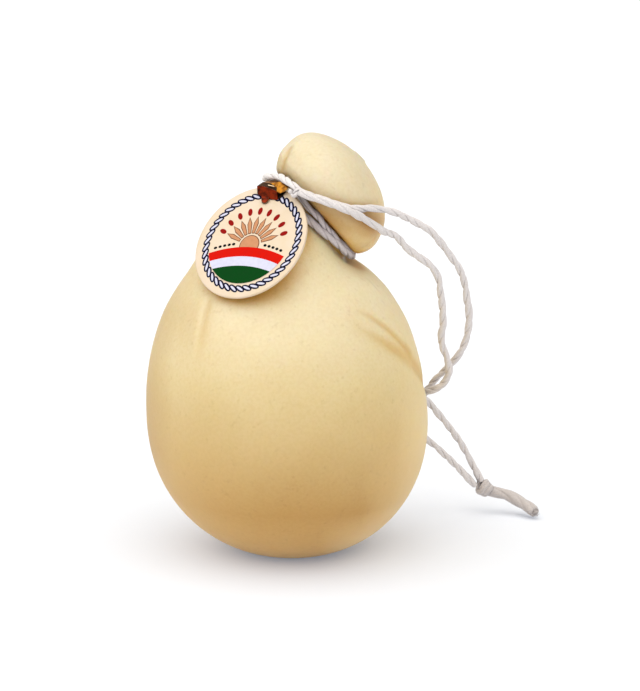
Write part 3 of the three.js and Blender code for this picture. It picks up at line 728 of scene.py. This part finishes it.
def waist_rings():
    """Rings at the bottom of the groove and at its two edges."""
    rows = []
    for side in (-1, 0, 1):
        x, z = TIE_CENTRE + side * WAIST_HALF_WIDTH * NECK_AXIS
        folds = [max(side, 0) * FOLD_AT_WAIST, max(-side, 0) * FOLD_AT_WAIST]
        rows.append([x, z, WAIST_RADIUS, NECK_TILT + side * GROOVE_FAN, *folds])
    return np.array(rows)


def head_rings():
    """Rings of the head from its lip up, and the top point."""
    spine = np.array([sin(HEAD_LEAN), cos(HEAD_LEAN)]) / cos(NECK_TILT - HEAD_LEAN)
    lip_angle = -acos(HEAD_LIP_RADIUS / HEAD_RADIUS)
    angle = lip_angle + (pi / 2 - lip_angle) * np.arange(RINGS["head"]) / RINGS["head"]
    below = np.maximum(angle / lip_angle, 0)
    folded = np.clip((HEAD_FOLD_START - angle) / (HEAD_FOLD_START - lip_angle), 0, 1) ** 2
    lip_reach = (HEAD_WIDEST - LIP_HALF_WIDTH) / -sin(lip_angle)
    reach = np.where(angle < 0, lip_reach, HEAD_TOP - HEAD_WIDEST)
    centre = TIE_CENTRE + (HEAD_WIDEST + reach * np.sin(angle))[:, None] * spine
    tilt = NECK_TILT + GROOVE_FAN * below
    x, z = TIE_CENTRE + HEAD_TOP * spine
    return np.column_stack([centre, HEAD_RADIUS * np.cos(angle), tilt, folded, 0 * below]), (x, 0, z)


def round_lips(rings, first, last):
    """The rings from first to last, each averaged with its neighbours a few times."""
    for _ in range(LIP_PASSES):
        middle = rings[first:last]
        rings[first:last] = (rings[first - 1:last - 1] + 2 * middle + rings[first + 1:last + 1]) / 4
    return rings


def fold_shift(angle, folds, share):
    """How far the folds move each point of each ring, by its angle from the right end."""
    shift = 0
    for fold in folds:
        side = radians(fold.side)
        away = np.arccos(np.cos(angle - side))
        weight = share * np.exp(-((away / radians(fold.spread)) ** 2))[None, :]
        x, z = -fold.sag * NECK_AXIS - fold.tuck * cos(side) * NECK_ACROSS
        y = -fold.tuck * sin(side)
        shift = shift + weight[:, :, None] * (x, y, z)
    return shift


def body_mark_points(mark):
    """Points of a mark on the skin of the body."""
    t = np.linspace(0, 1, MARK_SAMPLES)
    azimuth = np.radians(mark["from"][0] + (mark["to"][0] - mark["from"][0]) * t)
    z = mark["from"][1] + (mark["to"][1] - mark["from"][1]) * t ** mark["bend"]
    x, _, radius = body_rings(np.arcsin((z - BELLY_HEIGHT) / UPPER_HEIGHT)).T[:3]
    return np.stack([x + radius * np.cos(azimuth), radius * np.sin(azimuth), z], axis=1)


def nearest_on_line(points, line):
    """How far each point is from a line, and at what share of the line."""
    best = np.full(len(points), np.inf)
    place = np.zeros(len(points))
    for i, (a, b) in enumerate(zip(line, line[1:])):
        way = b - a
        share = np.clip((points - a) @ way / way.dot(way), 0, 1)
        away = np.linalg.norm(points - a - share[:, None] * way, axis=1)
        place = np.where(away < best, (i + share) / (len(line) - 1), place)
        best = np.minimum(best, away)
    return best, place


def mark_relief(points, marks):
    """How far the marks raise or sink each point."""
    height = np.zeros(len(points))
    for mark in marks:
        line = np.array(mark["points"], float) if "points" in mark else body_mark_points(mark)
        away, place = nearest_on_line(points, line)
        shown = place / mark.get("fade", SHORT_FADE)
        if "out" in mark:
            shown = np.minimum(shown, (1 - place) / mark["out"])
        height += mark["depth"] * np.exp(-((away / mark["width"]) ** 2)) * smooth_step(shown)
    return height


def rind_waves(points):
    """Gentle unevenness of the rind, which fades out at the flat spot."""
    height = np.zeros(len(points))
    for wavelength, amount in RIND_WAVES:
        height += amount * np.array([noise.noise(Vector(p / wavelength)) for p in points])
    return height * np.clip(points[:, 2] / BELLY_HEIGHT, 0, 1)


def make_cheese(material):
    """Body, neck and head in one closed skin of rings."""
    psi = np.concatenate([
        np.linspace(-LOWEST, 0, RINGS["lower"], endpoint=False),
        np.linspace(0, SHOULDER_START, RINGS["upper"]),
    ])
    body = body_rings(psi)
    shoulder = shoulder_rings(body[-1])
    head, top = head_rings()
    groove = catmull_rom(np.vstack([shoulder[-1:], waist_rings(), head[:1]]), RINGS["groove"])[1:-1]
    rings = np.vstack([body, shoulder, groove, head])
    lip = len(body) + len(shoulder)
    rings = round_lips(rings, lip - LIP_RINGS["body"], lip + len(groove) + LIP_RINGS["head"])
    even = 2 * pi * np.arange(SEGMENTS) / SEGMENTS - pi
    angle = FINE_SIDE + even - FINE_SHARE * np.sin(even)
    x, z, radius, tilt, head_share, body_share = (column[:, None] for column in rings.T)
    level = np.cos(angle)[None, :]
    outward = np.stack([level * np.cos(tilt), np.sin(angle) + 0 * tilt, -level * np.sin(tilt)], axis=2)
    shift = fold_shift(angle, HEAD_FOLDS, head_share) + fold_shift(angle, BODY_FOLDS, body_share)
    points = radius[:, :, None] * outward
    points[:, :, 0] += x
    points[:, :, 2] += z
    points = (points + shift).reshape(-1, 3)
    marks = mark_relief(points, BODY_MARKS + HEAD_MARKS)
    lumps = [{"points": ends, "depth": depth, "width": width} for *ends, depth, width in LUMPS]
    relief = marks + mark_relief(points, lumps) + rind_waves(points)
    points += relief[:, None] * outward.reshape(-1, 3)
    count = len(points)
    vertices = np.vstack([points, [(0, 0, 0), top]])
    faces = grid_faces(len(rings), SEGMENTS)
    last = count - SEGMENTS
    for j in range(SEGMENTS):
        following = (j + 1) % SEGMENTS
        faces.append((following, j, count))
        faces.append((last + j, last + following, count + 1))
    piece = make_piece("cheese_rind", "cheese", vertices, faces, [material])
    attribute = piece.data.attributes.new("mark", "FLOAT", "POINT")
    attribute.data.foreach_set("value", np.concatenate([marks, [0, 0]]))


# Tag

def tag_to_row(points):
    """From the tag's own frame to the row's."""
    rolled = rotated(np.asarray(points, float), 0, 1, TAG_ROLL)
    leaning = rotated(rolled, 1, 2, pi / 2 - TAG_RISE)
    return rotated(leaning, 0, 1, TAG_TURN) + TAG_BACK_CENTRE


def make_tag(material):
    """A card disc with rounded edges and a hole: circles that run from the rim to the hole and back."""
    edge = TAG_EDGE / (TAG_RADIUS - TAG_HOLE_RADIUS)
    corner = edge * TAG_EDGE_CORNER
    corner_height = TAG_EDGE * TAG_EDGE_CORNER
    back = [(0, TAG_EDGE), (corner, corner_height)]
    back += [(edge + (1 - 2 * edge) * s, 0) for s in np.linspace(0, 1, TAG_BANDS + 1)]
    back += [(1 - corner, corner_height), (1, TAG_EDGE)]
    front = [(part, TAG_THICKNESS - z) for part, z in back]
    around = 2 * pi * np.arange(TAG_SEGMENTS) / TAG_SEGMENTS
    points = []
    for part, z in back[:1] + front + back[:0:-1]:
        radius = TAG_RADIUS + (TAG_HOLE_RADIUS - TAG_RADIUS) * part
        x = TAG_HOLE_SIDE * part + radius * np.cos(around)
        y = TAG_HOLE_HEIGHT * part + radius * np.sin(around)
        points.append(np.stack([x, y, 0 * around + z], axis=1))
    faces = grid_faces(len(points), TAG_SEGMENTS, ring=True)
    make_piece("tag_card", "tag", tag_to_row(np.vstack(points)), faces, [material])


def ink_oval(halves, at, heading, grow=0, points=OVAL_POINTS):
    """An oval at a place, its long side along the heading, made larger all round."""
    angle = 2 * pi * np.arange(points) / points
    long = (halves[0] + grow) * np.cos(angle)
    wide = (halves[1] + grow) * np.sin(angle)
    x = at[0] + long * cos(heading) - wide * sin(heading)
    y = at[1] + long * sin(heading) + wide * cos(heading)
    return np.stack([x, y], axis=1)


def hill_edge(level, x):
    """The height of a low arch."""
    return level - HILL_BEND * x * x


def ink_hill(level):
    """The part of the round field below a low arch."""
    tries = np.linspace(0, FIELD_RADIUS, HILL_SEARCH)
    widest = max(x for x in tries if x * x + hill_edge(level, x) ** 2 <= FIELD_RADIUS ** 2)
    start = atan2(hill_edge(level, widest), -widest)
    end = atan2(hill_edge(level, widest), widest)
    rim = np.linspace(start % (2 * pi), end % (2 * pi), HILL_RIM_POINTS)
    crest = np.linspace(widest, -widest, HILL_CREST_POINTS)[1:-1]
    arc = FIELD_RADIUS * np.stack([np.cos(rim), np.sin(rim)], axis=1)
    return np.vstack([arc, np.stack([crest, hill_edge(level, crest)], axis=1)])


def ink_ray(angle, grow):
    """A ray of the sun, pointed at its far end and made larger all round."""
    half = RAY_HALF_WIDTH + grow
    root = RAY_FROM - grow
    widest = RAY_WIDEST * RAY_TO
    outline = [(root, -RAY_ROOT_SHARE * half), (widest, -half), (RAY_TO + 2 * grow, 0)]
    outline += [(widest, half), (root, RAY_ROOT_SHARE * half)]
    along = np.array([cos(angle), sin(angle)])
    across = np.array([-sin(angle), cos(angle)])
    return np.array([(0, SUN_CENTRE_Y) + a * along + b * across for a, b in outline])


def sun_shapes():
    """The sun, its rays, the drops between them and the dots over the hills."""
    shapes = []
    for layer, (colour, grow) in enumerate((("brown", RAY_OUTLINE), ("copper", 0))):
        disc = ink_oval((SUN_RADIUS, SUN_RADIUS), (0, SUN_CENTRE_Y), 0, grow, DISC_POINTS)
        shapes.append((colour, disc, layer))
    for i in range(RAYS):
        angle = pi / 2 + RAY_FAN * (i / (RAYS - 1) - 0.5)
        shapes.append(("brown", ink_ray(angle, RAY_OUTLINE), 0))
        shapes.append(("copper", ink_ray(angle, 0), 1))
        at = (DROP_AT * cos(angle), SUN_CENTRE_Y + DROP_AT * sin(angle))
        shapes.append(("crimson", ink_oval(DROP_HALVES, at, angle), 0))
    for x in DOT_SIDES:
        for side in (-1, 1):
            at = (side * x, hill_edge(HILL_LEVELS[0][1] + DOT_RISE, x))
            heading = atan(-2 * HILL_BEND * side * x)
            shapes.append(("black", ink_oval(DOT_HALVES, at, heading), 0))
    return shapes


def ring_shapes():
    """A rope round the print: slanted white beads, each on a larger dark one."""
    shapes = []
    for i in range(RING_BEADS):
        angle = 2 * pi * i / RING_BEADS
        at = (RING_SIDE + RING_RADIUS * cos(angle), RING_RADIUS * sin(angle))
        heading = angle + pi / 2 - BEAD_SLANT
        shapes.append(("navy", ink_oval(BEAD_HALVES, at, heading, BEAD_OUTLINE), 0))
        shapes.append(("white", ink_oval(BEAD_HALVES, at, heading), 1))
    return shapes


def joined_prisms(solids, names):
    """Closed solids, each between two outlines: points, faces, and each face's place among the colours."""
    vertices = np.zeros((0, 3))
    faces = []
    colours = []
    for colour, low, high in solids:
        first, count = len(vertices), len(low)
        made = [tuple(range(start, start + count)) for start in (first, first + count)]
        made += grid_faces(2, count, first)
        vertices = np.vstack([vertices, low, high])
        faces += made
        colours += [names.index(colour)] * len(made)
    return vertices, faces, colours


def make_print(materials):
    """Thin fields of ink on the face of the tag."""
    hills = [(colour, ink_hill(level), HILL_LAYER + i) for i, (colour, level) in enumerate(HILL_LEVELS)]
    solids = []
    for colour, outline, layer in sun_shapes() + hills + ring_shapes():
        low = np.column_stack([outline, np.full(len(outline), TAG_THICKNESS - INK_SUNK)])
        solids.append((colour, low, low + (0, 0, INK_SUNK + INK_HEIGHT * (layer + 1))))
    vertices, faces, inks = joined_prisms(solids, list(materials))
    colours = list(materials.values())
    make_piece("tag_print", None, tag_to_row(vertices), faces, colours, inks, False)


# Clip

def clip_to_row(points):
    """From the clip's own frame to the row's."""
    rolled = rotated(np.asarray(points, float), 0, 2, -CLIP_ROLL)
    return rotated(rolled, 0, 1, TAG_TURN) + CLIP_FOOT


def clip_eye(first):
    """A wire ring round the lower turn of the string."""
    centre = turn_point(EYE_DEGREES)
    along = normalised(turn_point(EYE_DEGREES + 1) - turn_point(EYE_DEGREES - 1))
    side = normalised(np.cross(along, (0, 0, 1)))
    up = np.cross(side, along)
    wire = 2 * pi * np.arange(EYE_WIRE_SIDES) / EYE_WIRE_SIDES
    reach = EYE_RADIUS + EYE_WIRE * np.cos(wire)[:, None]
    rings = []
    for angle in 2 * pi * np.arange(EYE_STEPS) / EYE_STEPS:
        out = cos(angle) * side + sin(angle) * up
        rings.append(centre + reach * out + EYE_WIRE * np.sin(wire)[:, None] * along)
    return np.vstack(rings), grid_faces(EYE_STEPS, EYE_WIRE_SIDES, first, ring=True)


def make_clip(materials):
    """A strip folded over the tag's edge, with a tongue in the hole and an eye round the string, made of lit
    and shaded copies of its metal, with a painted glint and a dark sheet on the tag as painted shadow.
    """
    names = list(materials)
    solids = []
    for colour, outline in CLIP_PLATES:
        upper = clip_to_row(outline)
        normal = normalised(np.cross(upper[1] - upper[0], upper[2] - upper[0]))
        lower = upper - CLIP_SHEET * copysign(1, normal[2] - normal[1]) * normal
        solids.append((colour, lower, upper))
    # the tongue, and a dark sheet on the tag's face that stands in for the clip's shadow there: painted
    # shadow
    for colour, outline, top in (("dark", SHADOW_SHEET_OUTLINE, SHADOW_SHEET_TOP), ("red", TONGUE_OUTLINE, TONGUE_TOP)):
        upper = np.column_stack([outline, np.full(len(outline), top)])
        solids.append((colour, tag_to_row(upper - (0, 0, CLIP_SHEET)), tag_to_row(upper)))
    vertices, faces, metals = joined_prisms(solids, names)
    points, made = clip_eye(len(vertices))
    vertices = np.vstack([vertices, points])
    metals += [names.index("red")] * len(made)
    faces += made
    colours = list(materials.values())
    piece = make_piece("folded_clip", "tag_clip", vertices, faces, colours, metals, False)
    bevel = piece.modifiers.new("rounded_edges", "BEVEL")
    bevel.width = CLIP_ROUNDING * MM
    bevel.segments = CLIP_ROUNDING_STEPS
    bevel.limit_method = "ANGLE"


# Materials

def new_material(name):
    """A material with its shader and the place in the object's own frame."""
    material = bpy.data.materials.new(name)
    material.use_nodes = True
    shader = material.node_tree.nodes["Principled BSDF"]
    return material, shader, add_node(shader, "TexCoord").outputs["Object"]


def set_socket(socket, value):
    """Gives an input a plain value, or links it to another node."""
    if isinstance(value, bpy.types.NodeSocket):
        socket.id_data.links.new(value, socket)
    else:
        socket.default_value = value


def set_inputs(node, **values):
    """Sets inputs of a node by name, with _ for each space."""
    for key, value in values.items():
        set_socket(node.inputs[key.replace("_", " ")], value)


def add_node(near, kind, **values):
    """A new node with its inputs, in the tree of another node or socket."""
    made = near.id_data.nodes.new("ShaderNode" + kind)
    set_inputs(made, **values)
    return made


def add_noise(place, wavelength, detail=2):
    """Noise with features of about so many millimetres."""
    made = add_node(place, "TexNoise", Vector=place, Scale=1 / (wavelength * MM), Detail=detail)
    return made.outputs["Fac"]


def add_specks(place, wavelength, low, high, detail=2):
    """Noise that goes from 0 to 1 between two of its values."""
    return add_range(add_noise(place, wavelength, detail), low, high)


def add_split(vector):
    """The X, Y and Z of a vector."""
    return add_node(vector, "SeparateXYZ", Vector=vector).outputs


def add_ramp(value, stops):
    """A colour ramp of (position, colour) stops."""
    ramp = add_node(value, "ValToRGB", Fac=value)
    elements = ramp.color_ramp.elements
    while len(elements) < len(stops):
        elements.new(0.5)
    for element, (position, colour) in zip(elements, stops):
        element.position = position
        element.color = (*colour, 1)
    return ramp.outputs["Color"]


def add_range(value, low, high, to_low=0, to_high=1):
    """A value carried over from one range to another, and kept inside it."""
    made = add_node(value, "MapRange", Value=value, From_Min=low, From_Max=high)
    set_inputs(made, To_Min=to_low, To_Max=to_high)
    return made.outputs["Result"]


def add_mix(mode, share, *colours):
    """Two colours mixed by a share. Each is plain, or comes from another node."""
    made = add_node(share, "Mix")
    made.data_type = "RGBA"
    made.blend_type = mode
    set_inputs(made, Factor=share)
    sockets = [socket for socket in made.inputs if socket.type == "RGBA"]
    for socket, colour in zip(sockets, colours):
        set_socket(socket, (*colour, 1) if isinstance(colour, tuple) else colour)
    return [socket for socket in made.outputs if socket.type == "RGBA"][0]


def add_product(*factors):
    """Two values multiplied."""
    made = add_node(factors[0], "Math")
    made.operation = "MULTIPLY"
    for socket, factor in zip(made.inputs, factors):
        set_socket(socket, factor)
    return made.outputs["Value"]


def add_overlap(fields, ramps):
    """The product of ramps, each over one of the fields."""
    shares = [add_range(fields[field], *numbers) for field, *numbers in ramps]
    overlap = shares[0]
    for share in shares[1:]:
        overlap = add_product(overlap, share)
    return overlap


def add_occlusion(near, reach, open_share, closed_share):
    """How far other surfaces within so many millimetres cover a place: 0 in the open, 1 in a crevice."""
    made = add_node(near, "AmbientOcclusion", Distance=reach * MM)
    made.samples = OCCLUSION_SAMPLES
    return add_range(made.outputs["AO"], open_share, closed_share)


def add_bump(shader, place, wavelength, distance, strength, detail=2):
    """Fine relief from noise, so many millimetres high."""
    height = add_noise(place, wavelength, detail)
    bump = add_node(shader, "Bump", Height=height, Strength=strength, Distance=distance * MM)
    set_inputs(shader, Normal=bump.outputs["Normal"])


def rind_material():
    """Waxy rind, cream above and golden below, with blotches, marks darker in their dents and fine pits, and
    painted light and shade by height, facing and cover.
    """
    material, shader, place = new_material("rind")
    normal = add_split(add_node(shader, "NewGeometry").outputs["Normal"])
    mark = add_node(shader, "Attribute")
    mark.attribute_name = "mark"
    fields = {
        "height": add_range(add_split(place)["Z"], 0, CHEESE_HEIGHT * MM),
        "normal_x": normal["X"],
        "normal_z": normal["Z"],
        "mark": mark.outputs["Fac"],
    }
    # painted shade where other surfaces are near, kept lighter on the right shoulder
    covered = add_occlusion(place, reach=22, open_share=0.88, closed_share=0.45)
    lit = add_range(add_overlap(fields, RIGHT_SHOULDER), 0, 1, 1, RIGHT_SHOULDER_COVER)
    fields["cover"] = add_product(covered, lit)
    # colour by height, partly painted light and shade
    base = add_ramp(fields["height"], RIND_TONE_LIGHT_AND_SHADE)
    for specks, tint in RIND_SPECKS:
        base = add_mix("MULTIPLY", add_specks(place, **specks), base, tint)
    # painted light and shade, and the marks darker in their dents
    for mode, tint, ramps in RIND_TINTS:
        base = add_mix(mode, add_overlap(fields, ramps), base, tint)
    set_inputs(shader, Base_Color=base, Roughness=0.48, Subsurface_Weight=0.5)
    set_inputs(shader, Subsurface_Radius=(1, 0.55, 0.2), Subsurface_Scale=7 * MM)
    add_bump(shader, place, wavelength=0.9, distance=0.05, strength=0.35, detail=3)
    return material


def cotton_material(name, colour, shade, crevice, sheltered=(1, 1, 1)):
    """Matt twisted cotton with fine threads, with painted shade right of the knot and in crevices."""
    material, shader, place = new_material(name)
    threads = add_specks(place, wavelength=0.5, low=0.35, high=0.65, detail=3)
    base = add_mix("MIX", threads, colour, shade)
    # painted shade right of the knot, where the tie runs under the head
    under_head = add_range(add_split(place)["X"], 0, SHELTER_REACH * MM)
    base = add_mix("MULTIPLY", under_head, base, sheltered)
    # painted shade in crevices and where other surfaces are near
    covered = add_occlusion(place, reach=9, open_share=0.82, closed_share=0.35)
    base = add_mix("MULTIPLY", covered, base, crevice)
    set_inputs(shader, Base_Color=base, Roughness=0.9, Sheen_Weight=0.25)
    add_bump(shader, place, wavelength=0.35, distance=0.08, strength=0.6)
    return material


def card_material():
    """Coated cream card with a faint mottle, and painted shade near other surfaces."""
    material, shader, place = new_material("card")
    mottle = add_specks(place, wavelength=5, low=0.35, high=0.65)
    base = add_mix("MIX", mottle, *CARD_COLOURS)
    # painted shade near other surfaces
    covered = add_occlusion(place, reach=6, open_share=0.5, closed_share=0.2)
    base = add_mix("MULTIPLY", covered, base, CARD_CREVICE_SHADE)
    set_inputs(shader, Base_Color=base, Roughness=0.38)
    add_bump(shader, place, wavelength=0.4, distance=0.02, strength=0.3)
    return material


def ink_material(name, colour):
    """Printing ink, slightly uneven."""
    material, shader, place = new_material(name)
    cover = add_specks(place, wavelength=1.5, low=0.3, high=0.7)
    kept, paler = INK_WEAR
    worn = tuple(kept * c + paler for c in colour)
    base = add_mix("MIX", cover, colour, worn)
    set_inputs(shader, Base_Color=base, Roughness=0.6, Specular_IOR_Level=0.03)
    return material


def metal_material(name, colour, tarnished, roughness):
    """Coppery sheet metal with tarnish and fine scratches."""
    material, shader, place = new_material(name)
    tarnish = add_specks(place, wavelength=2.2, low=0.4, high=0.65, detail=3)
    base = add_mix("MIX", tarnish, colour, tarnished)
    set_inputs(shader, Base_Color=base, Metallic=0.9, Roughness=roughness)
    add_bump(shader, place, wavelength=1.2, distance=0.1, strength=0.4, detail=3)
    return material


def floor_material():
    """A pale floor with a faint grain, which glows slightly so that its shadow stays soft and cool."""
    material, shader, place = new_material("floor")
    grain = add_specks(place, wavelength=40, low=0.3, high=0.7)
    base = add_mix("MIX", grain, *FLOOR_COLOURS)
    covered = add_occlusion(place, reach=90, open_share=0.85, closed_share=0.3)
    glow = add_mix("MIX", covered, *FLOOR_GLOW)
    set_inputs(shader, Base_Color=base, Roughness=0.9, Specular_IOR_Level=0.1)
    set_inputs(shader, Emission_Color=glow, Emission_Strength=0.2)
    return material


# Stage

def make_camera():
    """A camera in front of the cheese that looks slightly down."""
    data = bpy.data.cameras.new("camera")
    data.sensor_fit = "VERTICAL"
    data.sensor_height = SENSOR_HEIGHT
    data.lens = FOCAL_PIXELS * SENSOR_HEIGHT / IMAGE_HEIGHT
    camera = add_object("camera", data)
    back = Vector((0, -cos(CAMERA_RISE), sin(CAMERA_RISE)))
    camera.location = (CAMERA_AIM + CAMERA_DISTANCE * back) * MM
    camera.rotation_euler = (pi / 2 - CAMERA_RISE, 0, 0)
    bpy.context.scene.camera = camera


def make_stage():
    """A plain pale floor under a soft light from the upper front left."""
    floor = bpy.data.meshes.new("floor")
    half = FLOOR_HALF * MM
    corners = [(-half, -half, 0), (half, -half, 0), (half, half, 0), (-half, half, 0)]
    floor.from_pydata(corners, [], [(0, 1, 2, 3)])
    floor.materials.append(floor_material())
    add_object("floor", floor)
    sun = bpy.data.lights.new("key", "SUN")
    sun.energy = SUN_STRENGTH
    sun.angle = SUN_SOFTNESS
    key = add_object("key", sun)
    key.rotation_euler = SUN_FROM.to_track_quat("Z", "Y").to_euler()
    world = bpy.data.worlds.new("studio")
    world.use_nodes = True
    set_inputs(world.node_tree.nodes["Background"], Color=WORLD_COLOUR, Strength=WORLD_STRENGTH)
    bpy.context.scene.world = world
    bpy.context.scene.view_settings.view_transform = "Standard"


make_camera()

cotton = cotton_material("cotton", *COTTON)
# lit and shaded copies of one cotton: the tie's lighter, the tail's and end knot's darker as painted shade
tied_cotton = cotton_material("tied_cotton", *TIED_COTTON)
shaded_cotton = cotton_material("shaded_cotton", *SHADED_COTTON)
upper_way = strand_path(UPPER_ROUTE)
lower_way = strand_path(LOWER_ROUTE)
upper, upper_line = make_string("strand_upper", "string_upper", upper_way, STRAND, cotton)
lower, lower_line = make_string("strand_lower", "string_lower", lower_way, STRAND, cotton)
end_knot, _ = make_string("knot_of_strands", "end_knot", knot_path(END_KNOT), END_KNOT_ROPE, shaded_cotton)
tail = make_tail(shaded_cotton)

make_string("neck_string", "neck_tie", tie_path(), TIE_ROPE, tied_cotton)
make_string("knot_of_tie", "tie_knot", knot_path(TIE_KNOT), KNOT_ROPE, cotton)

make_cheese(rind_material())
make_tag(card_material())
make_print({name: ink_material("ink_" + name, colour) for name, colour in INKS.items()})
make_clip({name: metal_material("clip_" + name, *finish) for name, finish in METALS.items()})
make_stage()
